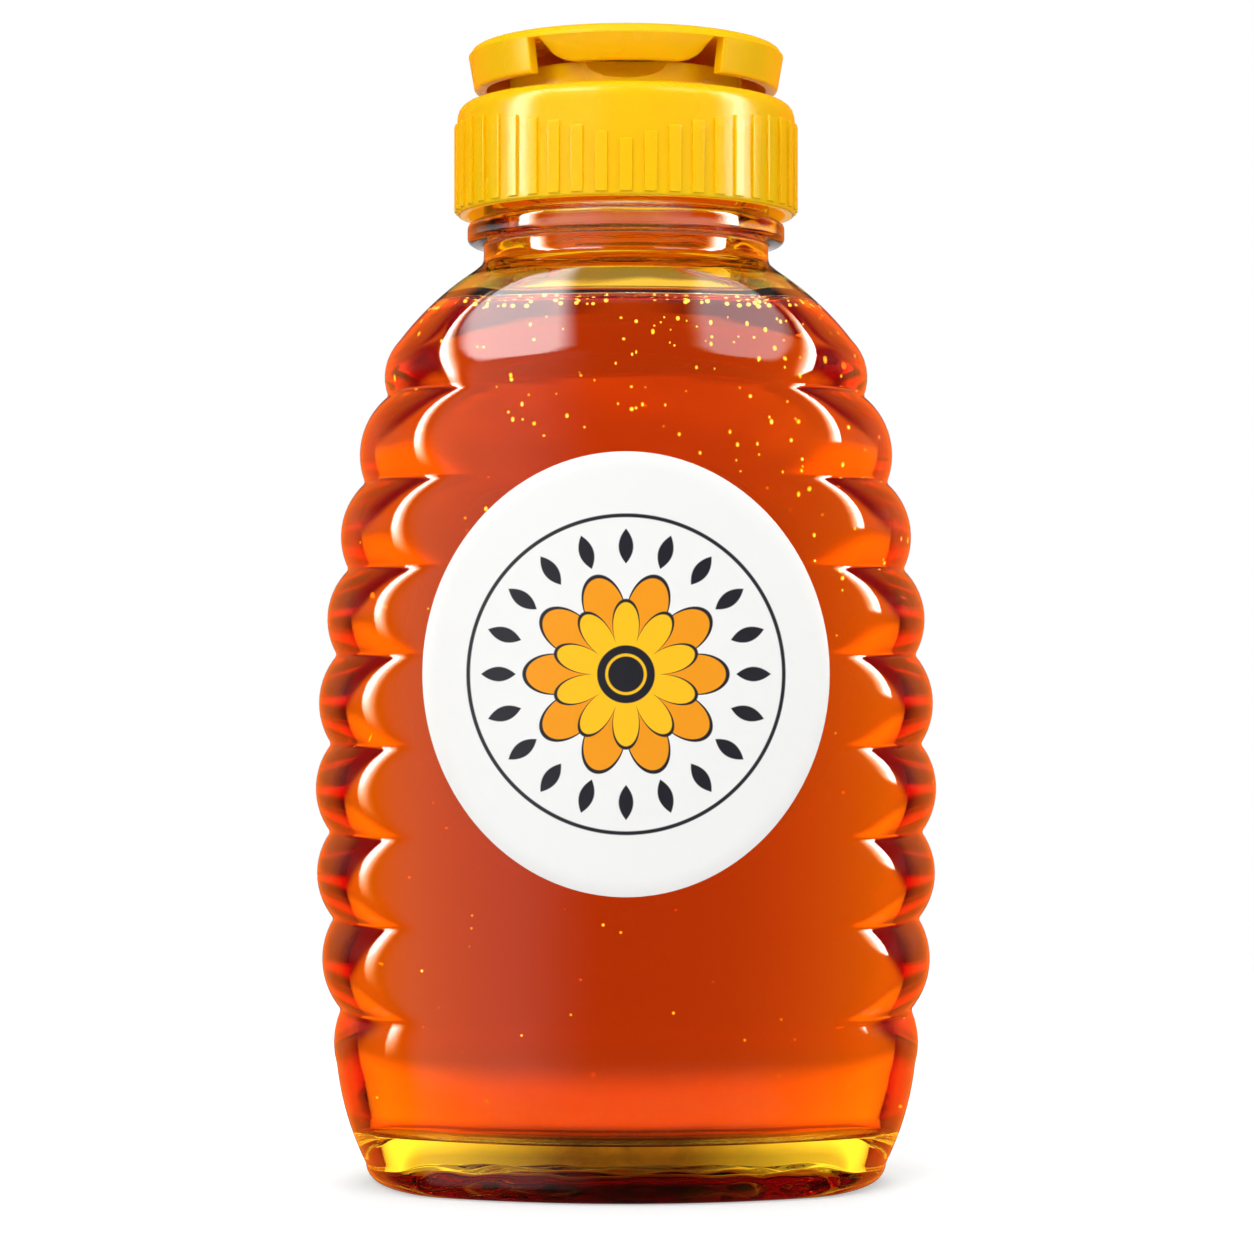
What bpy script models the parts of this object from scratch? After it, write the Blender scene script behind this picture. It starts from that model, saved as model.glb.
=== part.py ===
"""A clear squeeze bottle of honey with a flip-top screw cap, standing upright with its label to the front (-Y).

Sizes below are millimetres, and every mesh is scaled to metres when it is made. The origin is the middle of
the base, on the surface the bottle stands on.
"""

import math
from collections import namedtuple

import bmesh
import bpy
from mathutils import Matrix, Vector

MM = 0.001
GAP = 0.3  # what touching pieces keep between them

# Body of the bottle: ribbed ends and a smooth panel at the front and back
GROOVES = [(28.7, 94.4), (31.5, 84.0), (33.5, 73.6), (34.9, 63.3), (35.6, 52.6), (35.7, 42.0), (35.3, 31.6),
           (34.4, 20.7)]  # half width and height of each groove between two ribs, top to bottom
HEEL, BELLY = (31.4, 2.2), (34.9, 14.0)  # half width and height where the wall starts and below the last rib
SHOULDER_LOW, SHOULDER_HIGH = (27.4, 101.0), (18.6, 109.3)
HEEL_BOW, BELLY_BOW, SHOULDER_BOW, NECK_FOOT_BOW = 0.55, 0.6, 1.0, 0.5  # how far the wall bulges between those
RIB_SWELL = 1.8  # how far a rib stands out of the line between its grooves
RIB_SWELL_DEEP = 0.6  # share of the swell that the ribs have front to back
WALL = 0.8
FLOOR_Z = 4.6  # the clear base is thick
FLOOR_CORNER = 4.0  # reach of the corner between floor and inner wall
PUSH_UP = 2.0  # how far the underside rises in its middle
CONTACT = 29.2  # half width of the band that the bottle stands on
CONTACT_BAND = 2.0
OVAL_DEPTH = 26.1  # half depth that the ribs' ovals would have without the panels
OVAL_FOOT, OVAL_FOOT_Z, OVAL_FOOT_REACH = 1.9, 20.7, 18.5  # how much less deep the ovals get at the foot
ROUND_LOW_Z, ROUND_HIGH_Z = 95.0, 110.0  # the ovals turn into the round neck between these heights
PANEL_DEPTH = 23.7
PANEL_RADIUS = 55.0  # the panels' own curve, seen from above
PANEL_TOP_Z = 98.0
PANEL_CROWN, PANEL_CROWN_Z, PANEL_CROWN_REACH = 0.5, 57.0, 41.0  # how far it falls back above its middle
PANEL_LEAN = 0.44  # slope of the panel above its top edge
PANEL_FOOT, PANEL_FOOT_Z, PANEL_FOOT_REACH = 2.3, 18.0, 16.0  # how far it falls back at the foot
PANEL_BLEND = 1.2  # how softly the ribs run out into the panels
PANEL_ARCH, PANEL_ARCH_X = 2.4, 20.0  # how much lower the panel's top edge is at that distance from its middle
PANEL_ARCH_LOW_Z, PANEL_ARCH_REACH = 60.0, 30.0  # the heights in which the arch fades in
BODY_SEGMENTS = 36

# Neck finish, 38 mm with a 400 thread
NECK_R, NECK_FOOT_Z, NECK_TRUE_Z = 17.15, 110.2, 111.0  # its fillet runs up between these heights
NECK_FILLET = 0.35
NECK_BORE_R, NECK_BORE_LOW_Z = 15.5, 112.0
BEAD_R, BEAD_LOW_Z, BEAD_HIGH_Z = 19.15, 112.8, 115.5
RIM_Z = 127.4
THREAD_ROOT_R, THREAD_OD_R = 17.3, 18.65
THREAD_PITCH = 25.4 / 6
THREAD_TURNS = 1.25
THREAD_START_Z = 119.2
THREAD_STEPS = 30  # of one turn
THREAD_FADE = 3  # steps in which its ends run down to nothing
THREAD_LEAST = 0.15  # share of its height that it keeps at the very end
HONEY_Z = 106.2
HONEY_CLEAR = 0.5  # between the honey and the wall, so that the coarse facets of both stay apart

# Screw cap
SKIRT_R, SKIRT_LOW_Z, SKIRT_TOP_Z = 20.4, 116.3, 129.7
SKIRT_SHOULDER = 2.2
SKIRT_BORE_R = 19.15
DECK_UNDER_Z = RIM_Z + 0.4
CAP_THREAD_R = 17.75
THREAD_DROP = 1.55  # how far the cap's thread runs below the neck's
RIBS = 45
RIB_PROUD, RIB_WIDTH, RIB_LOW_Z, RIB_HIGH_Z = 0.35, 1.45, 117.0, 127.0
RIB_DIP = 4.2  # how much shorter the ribs are at the middle of the front
COLLAR_R, COLLAR_TOP_Z = 14.0, 132.9
SPOUT_R, SPOUT_BORE_R, SPOUT_TOP_Z = 6.6, 5.2, 133.9
POCKET_R, POCKET_TOP_Z = 10.6, 131.4
SCOOP_SIZE = (6.6, 2.2, 2.4)  # half sizes
SCOOP_OUT, SCOOP_UP = 0.6, 0.2  # its middle, off the collar's top edge
PLUG_R, PLUG_WALL, PLUG_LOW_Z = 15.1, 0.9, 125.4
CAP_SEGMENTS = 48

# Flip lid, closed
LID_R, LID_LOW_R, LID_LOW_Z, LID_TOP_Z = 19.0, 18.3, 131.3, 137.0
LID_WALL = 1.5
LID_EDGE = 1.6  # rounding of the top edge
PIN_R, PIN_WALL, PIN_LOW_Z = 4.7, 0.8, 132.3  # the ring under the lid that closes the spout
NOTCH_HALF_ANGLE, NOTCH_TOP_Z = 37.2, 135.3
TAB_HALF_ANGLE, TAB_ROUND_ANGLE = 34.0, 20.0  # half its width, and where its rounded ends start
TAB_LOW_Z, TAB_END_RISE = 132.5, 2.7
HINGE_Y, HINGE_Z = 20.3, 130.45
HINGE_WIDTH, HINGE_THICK = 10.0, 0.4
BOSS_Y = 20.1  # back face of the blocks that the hinge is rooted in
CAP_BOSS_Y, LID_BOSS_Y = 17.0, 17.4  # their front faces, inside the walls they grow from
CAP_BOSS_DEPTH, LID_BOSS_HEIGHT = 2.4, 2.2
HINGE_IN_CAP, HINGE_IN_LID = 1.6, 1.5  # how far the web reaches past the deck and past the lid's edge
LID_SEGMENTS = 48

# Silicone valve and the ring that holds it in the cap
VALVE_R, VALVE_FLANGE = 9.9, 1.0
SLIT_LENGTH, SLIT_WIDTH = 6.0, 0.25
RING_BORE_R, RING_LOW_Z = 7.6, 128.1
VALVE_SEGMENTS, RING_SEGMENTS = 32, 40

# Label, a thin oval sticker
LABEL_HALF_W, LABEL_HALF_H, LABEL_Z, LABEL_THICK = 23.5, 25.4, 61.2, 0.25
LABEL_RINGS, LABEL_SEGMENTS = 6, 40


def clear_scene():
    for obj in list(bpy.data.objects):
        bpy.data.objects.remove(obj, do_unlink=True)


def material(name, rgb, roughness, transmission=0.0, ior=1.5):
    mat = bpy.data.materials.new(name)
    mat.use_nodes = True
    shader = mat.node_tree.nodes["Principled BSDF"]
    shader.inputs["Base Color"].default_value = (*rgb, 1.0)
    shader.inputs["Roughness"].default_value = roughness
    shader.inputs["Metallic"].default_value = 0.0
    shader.inputs["Transmission Weight"].default_value = transmission
    shader.inputs["IOR"].default_value = ior
    mat.diffuse_color = (*rgb, 1.0)
    return mat


def finish(bm, name, mat, origin=(0.0, 0.0, 0.0)):
    """Scales the mesh to metres, closes it and makes the object, with its origin at a point given in mm."""
    bmesh.ops.remove_doubles(bm, verts=bm.verts, dist=0.0005)
    bmesh.ops.dissolve_degenerate(bm, edges=bm.edges, dist=0.0005)
    bmesh.ops.recalc_face_normals(bm, faces=bm.faces)
    bmesh.ops.translate(bm, verts=bm.verts, vec=-Vector(origin))
    bmesh.ops.scale(bm, verts=bm.verts, vec=(MM, MM, MM))
    mesh = bpy.data.meshes.new(name)
    bm.to_mesh(mesh)
    bm.free()
    mesh.materials.append(mat)
    mesh.shade_smooth()
    mesh.set_sharp_from_angle(angle=math.radians(35))
    obj = bpy.data.objects.new(name, mesh)
    obj.location = Vector(origin) * MM
    bpy.context.collection.objects.link(obj)
    return obj


def arc(start, end, sagitta, count):
    """Points on a round arc from start towards end, end left out. A positive sagitta bows it to the right of
    the way that it goes, which is outwards on an outline that runs upwards."""
    (r0, z0), (r1, z1) = start, end
    chord = math.hypot(r1 - r0, z1 - z0)
    along = ((r1 - r0) / chord, (z1 - z0) / chord)
    aside = (along[1], -along[0])
    radius = (chord * chord / 4 + sagitta * sagitta) / (2 * abs(sagitta))
    half = math.asin(min(1.0, chord / 2 / radius))
    points = []
    for i in range(count):
        turn = -half + 2 * half * i / count
        u = chord / 2 + radius * math.sin(turn)
        v = math.copysign(radius * (math.cos(turn) - math.cos(half)), sagitta)
        points.append((r0 + along[0] * u + aside[0] * v, z0 + along[1] * u + aside[1] * v))
    return points


def lathe(outline, segments, closed=True):
    """Turns an outline of (radius, height) points round the Z axis. Each vertex keeps its point's number."""
    bm = bmesh.new()
    layer = bm.verts.layers.int.new("point")
    verts = []
    for i, (r, z) in enumerate(outline):
        v = bm.verts.new((r, 0.0, z))
        v[layer] = i
        verts.append(v)
    pairs = list(zip(verts, verts[1:]))
    if closed:
        pairs.append((verts[-1], verts[0]))
    edges = [bm.edges.new(pair) for pair in pairs]
    bmesh.ops.spin(bm, geom=verts + edges, cent=(0, 0, 0), axis=(0, 0, 1), angle=math.tau, steps=segments,
                   use_merge=True, use_duplicate=False)
    return bm


def boolean(obj, other, operation):
    """Applies a union or a cut by another object, which is then removed."""
    mod = obj.modifiers.new(operation.lower(), "BOOLEAN")
    mod.operation = operation
    mod.solver = "EXACT"
    mod.object = other
    evaluated = obj.evaluated_get(bpy.context.evaluated_depsgraph_get())
    mesh = bpy.data.meshes.new_from_object(evaluated)
    obj.modifiers.remove(mod)
    obj.data = mesh
    bpy.data.objects.remove(other, do_unlink=True)


# A level section of the bottle: an oval, cut back to the panels, which lie their inset inside the outer ones at
# that level, or a plain round where the inset is None. It is then shrunk by its share and placed at its height.
Ring = namedtuple("Ring", "half_width depth level inset height share")


def ease(t):
    t = min(1.0, max(0.0, t))
    return t * t * (3 - 2 * t)


def oval_depth(z, half_width):
    """Half depth of the oval at a height: round at the neck, deep behind the panels, narrower at the base."""
    foot = OVAL_FOOT * ease((OVAL_FOOT_Z - z) / OVAL_FOOT_REACH)
    neck = ease((z - ROUND_LOW_Z) / (ROUND_HIGH_Z - ROUND_LOW_Z))
    return (OVAL_DEPTH - foot) * (1 - neck) + half_width * neck


def panel_depth(z):
    """Depth of the panel: nearly upright, leaning in above its top edge and towards the base."""
    crown = PANEL_CROWN * ((min(z, PANEL_TOP_Z) - PANEL_CROWN_Z) / PANEL_CROWN_REACH) ** 2
    shoulder = PANEL_LEAN * max(0.0, z - PANEL_TOP_Z)
    foot = PANEL_FOOT * ease((PANEL_FOOT_Z - z) / PANEL_FOOT_REACH)
    return PANEL_DEPTH - crown - shoulder - foot


def soft_min(a, b, blend):
    h = max(0.0, blend - abs(a - b)) / blend
    return min(a, b) - h * h * blend / 4


def arched(x, z):
    """The height at which the panel's depth is read: its top edge is an arch."""
    return z + PANEL_ARCH * (x / PANEL_ARCH_X) ** 2 * ease((z - PANEL_ARCH_LOW_Z) / PANEL_ARCH_REACH)


def section_point(ring, turn):
    """One point of a ring: on its oval, but no further out than the panel."""
    x = ring.half_width * math.cos(turn)
    y = ring.depth * math.sin(turn)
    if ring.inset is not None:
        limit = panel_depth(arched(x, ring.level)) - ring.inset - x * x / (2 * PANEL_RADIUS)
        y = math.copysign(soft_min(abs(y), limit, PANEL_BLEND), y)
    return Vector((x * ring.share, y * ring.share, ring.height))


def wall_outline(rib_steps):
    """The bottle's outer wall from above the heel up to the neck, as (half width, height, how far out of its
    grooves' line a rib swells)."""
    points = [(r, z, 0.0) for r, z in arc(HEEL, BELLY, HEEL_BOW, 3)]
    points += [(r, z, 0.0) for r, z in arc(BELLY, GROOVES[-1], BELLY_BOW, 2)]
    for (r0, z0), (r1, z1) in zip(GROOVES[::-1], GROOVES[-2::-1]):
        for r, z in arc((r0, z0), (r1, z1), RIB_SWELL, rib_steps):
            line = r0 + (r1 - r0) * (z - z0) / (z1 - z0)
            points.append((r, z, r - line))
    points += [(r, z, 0.0) for r, z in arc(GROOVES[0], SHOULDER_LOW, SHOULDER_BOW, 3)]
    points += [(r, z, 0.0) for r, z in arc(SHOULDER_LOW, SHOULDER_HIGH, NECK_FOOT_BOW, 3)]
    points += [(*SHOULDER_HIGH, 0.0), (NECK_R + NECK_FILLET, NECK_FOOT_Z, 0.0), (NECK_R, NECK_TRUE_Z, 0.0)]
    return points


def inset_outline(outline, wall):
    """The same outline moved in by a wall's thickness, square to it."""
    moved = []
    for i, (r, z, swell) in enumerate(outline):
        r0, z0 = outline[max(0, i - 1)][:2]
        r1, z1 = outline[min(len(outline) - 1, i + 1)][:2]
        length = math.hypot(r1 - r0, z1 - z0)
        moved.append((r - wall * (z1 - z0) / length, z + wall * (r1 - r0) / length, swell))
    return moved


def round_ring(r, z):
    return Ring(r, r, z, None, z, 1.0)


def wall_rings(outline, inset):
    """Rings of a wall whose panels and ovals lie an inset inside the outer ones."""
    rings = []
    for r, z, swell in outline:
        if z > ROUND_HIGH_Z:
            rings.append(round_ring(r, z))
        else:
            depth = oval_depth(z, r + inset) + RIB_SWELL_DEEP * swell - inset
            rings.append(Ring(r, depth, z, inset, z, 1.0))
    return rings


def drawn_in(ring, amount, height):
    """A wall's ring moved in by the same amount all round."""
    return ring._replace(half_width=ring.half_width - amount, depth=ring.depth - amount,
                         inset=ring.inset + amount, height=height)


def rounded_corner(ring, reach, height, count):
    """Rings from a floor out and up to a wall's ring: a corner of a given reach and height."""
    rings = []
    for i in range(count):
        turn = math.pi / 2 * i / count
        rings.append(drawn_in(ring, reach * (1 - math.sin(turn)), ring.height - height * math.cos(turn)))
    return rings


def shrunk(ring, sizes):
    """Smaller copies of a ring, from the middle outwards, each with its share of the ring and its height."""
    return [ring._replace(share=share, height=height) for share, height in sizes]


def inner_outline(wall):
    """The inside of the wall, from the top of the corner above the floor up to the neck."""
    corner_z = FLOOR_Z + 0.75 * FLOOR_CORNER
    return [p for p in inset_outline(wall_outline(3), wall) if corner_z < p[1] < SHOULDER_HIGH[1] - 0.3]


def turned_body(rings):
    """Turns the rings' half widths on a lathe, then squeezes each vertex onto its own ring."""
    bm = lathe([(ring.half_width * ring.share, ring.height) for ring in rings], BODY_SEGMENTS, closed=False)
    layer = bm.verts.layers.int["point"]
    for v in bm.verts:
        v.co = section_point(rings[v[layer]], math.atan2(v.co.y, v.co.x))
    return bm


def neck_outline():
    """Outside of the neck above the shoulder, up to the rim and down the bore."""
    return [(NECK_R, BEAD_LOW_Z - 0.3), (BEAD_R - 0.4, BEAD_LOW_Z), (BEAD_R, BEAD_LOW_Z + 0.4),
            (BEAD_R, BEAD_HIGH_Z - 0.8), (BEAD_R - 0.6, BEAD_HIGH_Z - 0.1), (THREAD_ROOT_R + 0.2, BEAD_HIGH_Z),
            (THREAD_ROOT_R, BEAD_HIGH_Z + 0.4), (THREAD_ROOT_R, RIM_Z - 0.6), (THREAD_ROOT_R - 0.5, RIM_Z),
            (NECK_BORE_R + 0.3, RIM_Z), (NECK_BORE_R, RIM_Z - 0.4), (NECK_BORE_R, NECK_BORE_LOW_Z)]


def helix_ridge(root_r, crest_r, root_half, crest_half, start_z):
    """A thread's ridge: a four-sided section carried up a helix, its ends run down to nothing."""
    bm = bmesh.new()
    steps = round(THREAD_TURNS * THREAD_STEPS)
    last = None
    for i in range(steps + 1):
        turn = math.tau * i / THREAD_STEPS
        z = start_z + THREAD_PITCH * i / THREAD_STEPS
        height = max(THREAD_LEAST, min(1.0, i / THREAD_FADE, (steps - i) / THREAD_FADE))
        tip = root_r + (crest_r - root_r) * height
        thin = crest_half + (root_half - crest_half) * (1 - height) * 0.3
        ring = [bm.verts.new((r * math.cos(turn), r * math.sin(turn), z + dz))
                for r, dz in ((root_r, -root_half), (tip, -thin), (tip, thin), (root_r, root_half))]
        if last:
            for k in range(4):
                bm.faces.new((last[k], ring[k], ring[(k + 1) % 4], last[(k + 1) % 4]))
        else:
            bm.faces.new(ring)
        last = ring
    bm.faces.new(last[::-1])
    return bm


def make_bottle(mat):
    """The shell: underside, heel, ribbed wall, neck finish and bore, inner wall and the thick clear floor."""
    outside = wall_rings(wall_outline(4), 0.0)
    heel = rounded_corner(outside[0], HEEL[0] - CONTACT, HEEL[1], 3)
    band = 1 - CONTACT_BAND / CONTACT
    under = [(0.0, PUSH_UP), (0.35, PUSH_UP), (0.7, PUSH_UP * 0.8), (band - 0.05, PUSH_UP * 0.35), (band, 0.0)]
    rings = shrunk(heel[0], under) + heel + outside
    rings += [round_ring(r, z) for r, z in neck_outline()]
    rings += [round_ring(NECK_BORE_R + 0.3, NECK_FOOT_Z)]
    inside = wall_rings(inner_outline(WALL), WALL)
    corner = rounded_corner(inside[0], FLOOR_CORNER, inside[0].height - FLOOR_Z, 3)
    floor = shrunk(corner[0], [(0.0, FLOOR_Z + 0.3), (0.35, FLOOR_Z + 0.3), (0.7, FLOOR_Z + 0.1)])
    rings += (floor + corner + inside)[::-1]
    bottle = finish(turned_body(rings), "bottle", mat)
    thread = helix_ridge(THREAD_ROOT_R - 0.4, THREAD_OD_R, 1.25, 0.45, THREAD_START_Z)
    boolean(bottle, finish(thread, "neck_thread", mat), "UNION")


def make_honey(mat):
    """The honey fills the bottle to its level, a little clear of the wall."""
    inset = WALL + HONEY_CLEAR
    outline = inner_outline(inset)
    low = max((p for p in outline if p[1] < HONEY_Z - 0.8), key=lambda p: p[1])
    high = min((p for p in outline if p[1] > HONEY_Z), key=lambda p: p[1])
    brim = low[0] + (high[0] - low[0]) * (HONEY_Z - low[1]) / (high[1] - low[1])
    wall = wall_rings([p for p in outline if p[1] <= low[1]] + [(brim, HONEY_Z, 0.0)], inset)
    bottom = FLOOR_Z + HONEY_CLEAR
    corner = rounded_corner(wall[0], FLOOR_CORNER, wall[0].height - bottom, 3)
    floor = shrunk(corner[0], [(0.0, bottom + 0.3), (0.35, bottom + 0.3), (0.7, bottom + 0.1)])
    top = shrunk(wall[-1], [(0.0, HONEY_Z), (0.5, HONEY_Z)])
    finish(turned_body(floor + corner + wall + top[::-1]), "honey", mat)


def make_label(mat):
    """An oval sticker: a thin disc turned flat, then laid on the curve of the front panel."""
    radii = [i / LABEL_RINGS for i in range(LABEL_RINGS + 1)]
    outline = [(r, 0.0) for r in radii] + [(r, LABEL_THICK) for r in reversed(radii)]
    bm = lathe(outline, LABEL_SEGMENTS, closed=False)
    for v in bm.verts:
        x, z = v.co.x * LABEL_HALF_W, LABEL_Z + v.co.y * LABEL_HALF_H
        out = panel_depth(arched(x, z)) + GAP - x * x / (2 * PANEL_RADIUS) + v.co.z
        v.co = (x, -out, z)
    finish(bm, "front_label", mat)


def scoop_cutter():
    """The flattened ball that hollows the front of the cap's collar for a thumb."""
    bm = bmesh.new()
    bmesh.ops.create_uvsphere(bm, u_segments=20, v_segments=12, radius=1.0)
    bmesh.ops.scale(bm, verts=bm.verts, vec=SCOOP_SIZE)
    bmesh.ops.translate(bm, verts=bm.verts, vec=(0.0, -COLLAR_R - SCOOP_OUT, COLLAR_TOP_Z + SCOOP_UP))
    return bm


def hinge_boss(low, high, inner_y):
    """A block at the back that the film hinge is rooted in."""
    bm = bmesh.new()
    bmesh.ops.create_cube(bm, size=1.0)
    bmesh.ops.scale(bm, verts=bm.verts, vec=(HINGE_WIDTH + 1.0, BOSS_Y - inner_y, high - low))
    bmesh.ops.translate(bm, verts=bm.verts, vec=(0.0, (BOSS_Y + inner_y) / 2, (low + high) / 2))
    return bm


def cap_ribs():
    """Upright grip bars round the skirt. Their tops dip towards the middle of the front."""
    bm = bmesh.new()
    for i in range(RIBS):
        turn = math.tau * (i + 0.5) / RIBS
        front = max(0.0, -math.cos(turn))  # 1 at the front, where the bar's turn from +Y is half a turn
        dip = RIB_DIP * (1 - abs(math.sin(turn))) ** 1.5 if front > 0 else 0.0
        high = RIB_HIGH_Z - dip
        bar = bmesh.ops.create_cube(bm, size=1.0)["verts"]
        size = (RIB_WIDTH, RIB_PROUD + 0.6, high - RIB_LOW_Z)
        bmesh.ops.scale(bm, verts=bar, vec=size)
        bmesh.ops.translate(bm, verts=bar, vec=(0.0, SKIRT_R - 0.6 + size[1] / 2, (high + RIB_LOW_Z) / 2))
        bmesh.ops.rotate(bm, verts=bar, cent=(0, 0, 0), matrix=Matrix.Rotation(turn, 3, "Z"))
    return bm


def make_cap(mat):
    """Ribbed skirt, deck, collar and spout, with the valve's pocket and the plug ring underneath."""
    outline = [(SKIRT_BORE_R, SKIRT_LOW_Z), (SKIRT_R - 0.35, SKIRT_LOW_Z), (SKIRT_R, SKIRT_LOW_Z + 0.35)]
    corner = (SKIRT_R - SKIRT_SHOULDER, SKIRT_TOP_Z)
    bow = SKIRT_SHOULDER * (1 - math.sqrt(0.5))
    outline += arc((SKIRT_R, SKIRT_TOP_Z - SKIRT_SHOULDER), corner, bow, 4) + [corner]
    outline += [(COLLAR_R, SKIRT_TOP_Z), (COLLAR_R, COLLAR_TOP_Z - 0.4), (COLLAR_R - 0.4, COLLAR_TOP_Z),
                (SPOUT_R, COLLAR_TOP_Z), (SPOUT_R - 0.2, SPOUT_TOP_Z), (SPOUT_BORE_R, SPOUT_TOP_Z),
                (SPOUT_BORE_R, POCKET_TOP_Z), (POCKET_R, POCKET_TOP_Z), (POCKET_R, DECK_UNDER_Z),
                (PLUG_R - PLUG_WALL, DECK_UNDER_Z), (PLUG_R - PLUG_WALL, PLUG_LOW_Z),
                (PLUG_R - 0.3, PLUG_LOW_Z), (PLUG_R, PLUG_LOW_Z + 0.6), (PLUG_R, DECK_UNDER_Z),
                (SKIRT_BORE_R, DECK_UNDER_Z)]
    cap = finish(lathe(outline, CAP_SEGMENTS), "cap", mat)
    boolean(cap, finish(cap_ribs(), "ribs", mat), "UNION")
    boss = hinge_boss(SKIRT_TOP_Z - CAP_BOSS_DEPTH, SKIRT_TOP_Z + 0.1, CAP_BOSS_Y)
    boolean(cap, finish(boss, "boss", mat), "UNION")
    boolean(cap, finish(scoop_cutter(), "scoop", mat), "DIFFERENCE")
    ridge = helix_ridge(SKIRT_BORE_R + 0.4, CAP_THREAD_R, 0.85, 0.35, THREAD_START_Z - THREAD_DROP)
    boolean(cap, finish(ridge, "cap_thread", mat), "UNION")


def front_arc(outline, half_angle, steps):
    """A closed (radius, height) outline swung round the Z axis, the same way to both sides of the front."""
    bm = bmesh.new()
    face = bm.faces.new([bm.verts.new((0.0, -r, z)) for r, z in outline])
    bmesh.ops.rotate(bm, verts=bm.verts, cent=(0, 0, 0), matrix=Matrix.Rotation(-half_angle, 3, "Z"))
    bmesh.ops.spin(bm, geom=[face], cent=(0, 0, 0), axis=(0, 0, 1), angle=2 * half_angle, steps=steps)
    return bm


def notch_cutter():
    """What the thumb notch takes out of the lid's wall at the front."""
    outer, inner = LID_R + 2.0, LID_LOW_R - LID_WALL - 2.0
    low = LID_LOW_Z - 2.0
    outline = [(outer, NOTCH_TOP_Z), (outer, low), (inner, low), (inner, NOTCH_TOP_Z)]
    return front_arc(outline, math.radians(NOTCH_HALF_ANGLE), LID_SEGMENTS // 4)


def thumb_tab():
    """The tab under the lid's front edge, leaning in towards its lower edge, its ends rounded up."""
    outer, inner, root_z = LID_R - 0.5, LID_R - 3.8, LID_TOP_Z - 1.2
    outline = [(outer, root_z), (outer - 1.9, TAB_LOW_Z), (outer - 2.9, TAB_LOW_Z), (inner, root_z)]
    half, straight = math.radians(TAB_HALF_ANGLE), math.radians(TAB_ROUND_ANGLE)
    bm = front_arc(outline, half, LID_SEGMENTS // 4)
    for v in bm.verts:
        if v.co.z < TAB_LOW_Z + 0.5:
            lift = max(0.0, (abs(math.atan2(v.co.x, -v.co.y)) - straight) / (half - straight))
            v.co.z += TAB_END_RISE * (1 - math.sqrt(max(0.0, 1 - lift * lift)))
    return bm


def make_lid(mat):
    """The flip lid, a shallow cap with a thumb notch at the front and a ring that closes the spout."""
    top, under = LID_TOP_Z, LID_TOP_Z - LID_WALL
    edge = [(LID_R, top - LID_EDGE), (LID_R - LID_EDGE, top - 0.35)]
    outline = [(LID_LOW_R - LID_WALL, LID_LOW_Z), (LID_LOW_R - 0.3, LID_LOW_Z), (LID_LOW_R, LID_LOW_Z + 0.3)]
    outline += arc(*edge, 0.45, 3) + [edge[1], (10.0, top - 0.1), (0.0, top)]
    outline += [(0.0, under), (PIN_R - PIN_WALL, under), (PIN_R - PIN_WALL, PIN_LOW_Z), (PIN_R, PIN_LOW_Z),
                (PIN_R + 0.1, under)]
    inside = LID_R - LID_WALL - 0.2
    outline += [(inside - 0.6, under - 0.2), (inside, under - 0.8)]
    lid = finish(lathe(outline, LID_SEGMENTS), "flip_lid", mat, origin=(0.0, HINGE_Y, HINGE_Z))
    boolean(lid, finish(notch_cutter(), "notch", mat), "DIFFERENCE")
    boolean(lid, finish(thumb_tab(), "tab", mat), "UNION")
    boss = hinge_boss(LID_LOW_Z, LID_LOW_Z + LID_BOSS_HEIGHT, LID_BOSS_Y)
    boolean(lid, finish(boss, "boss", mat), "UNION")


def make_film_hinge(mat):
    """The thin web of the same moulding that joins cap and lid at the back, just outside the joint's axis."""
    low, high = SKIRT_TOP_Z - HINGE_IN_CAP, LID_LOW_Z + HINGE_IN_LID
    bm = bmesh.new()
    bmesh.ops.create_cube(bm, size=1.0)
    bmesh.ops.scale(bm, verts=bm.verts, vec=(HINGE_WIDTH, HINGE_THICK, high - low))
    bmesh.ops.translate(bm, verts=bm.verts, vec=(0.0, BOSS_Y + GAP + HINGE_THICK / 2, (low + high) / 2))
    finish(bm, "film_hinge", mat, origin=(0.0, HINGE_Y, HINGE_Z))


def make_valve(mat):
    """A silicone valve: a flange, a rolling sleeve and a dished head that two crossed slits open."""
    z = POCKET_TOP_Z - GAP
    flange = z - VALVE_FLANGE
    outline = [(VALVE_R, z), (VALVE_R, flange), (6.4, flange), (5.4, z - 1.9), (4.2, z - 1.9), (2.0, z - 1.2),
               (0.0, z - 1.05), (0.0, z - 0.55), (2.0, z - 0.7), (4.0, z - 1.35), (4.6, z - 1.2), (5.0, z)]
    valve = finish(lathe(outline[::-1], VALVE_SEGMENTS), "valve", mat)
    for turn in (math.pi / 4, -math.pi / 4):
        cut = bmesh.new()
        bmesh.ops.create_cube(cut, size=1.0)
        bmesh.ops.scale(cut, verts=cut.verts, vec=(SLIT_LENGTH, SLIT_WIDTH, SLIT_LENGTH))
        bmesh.ops.rotate(cut, verts=cut.verts, cent=(0, 0, 0), matrix=Matrix.Rotation(turn, 3, "Z"))
        bmesh.ops.translate(cut, verts=cut.verts, vec=(0.0, 0.0, z))
        boolean(valve, finish(cut, "slit", mat), "DIFFERENCE")


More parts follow.
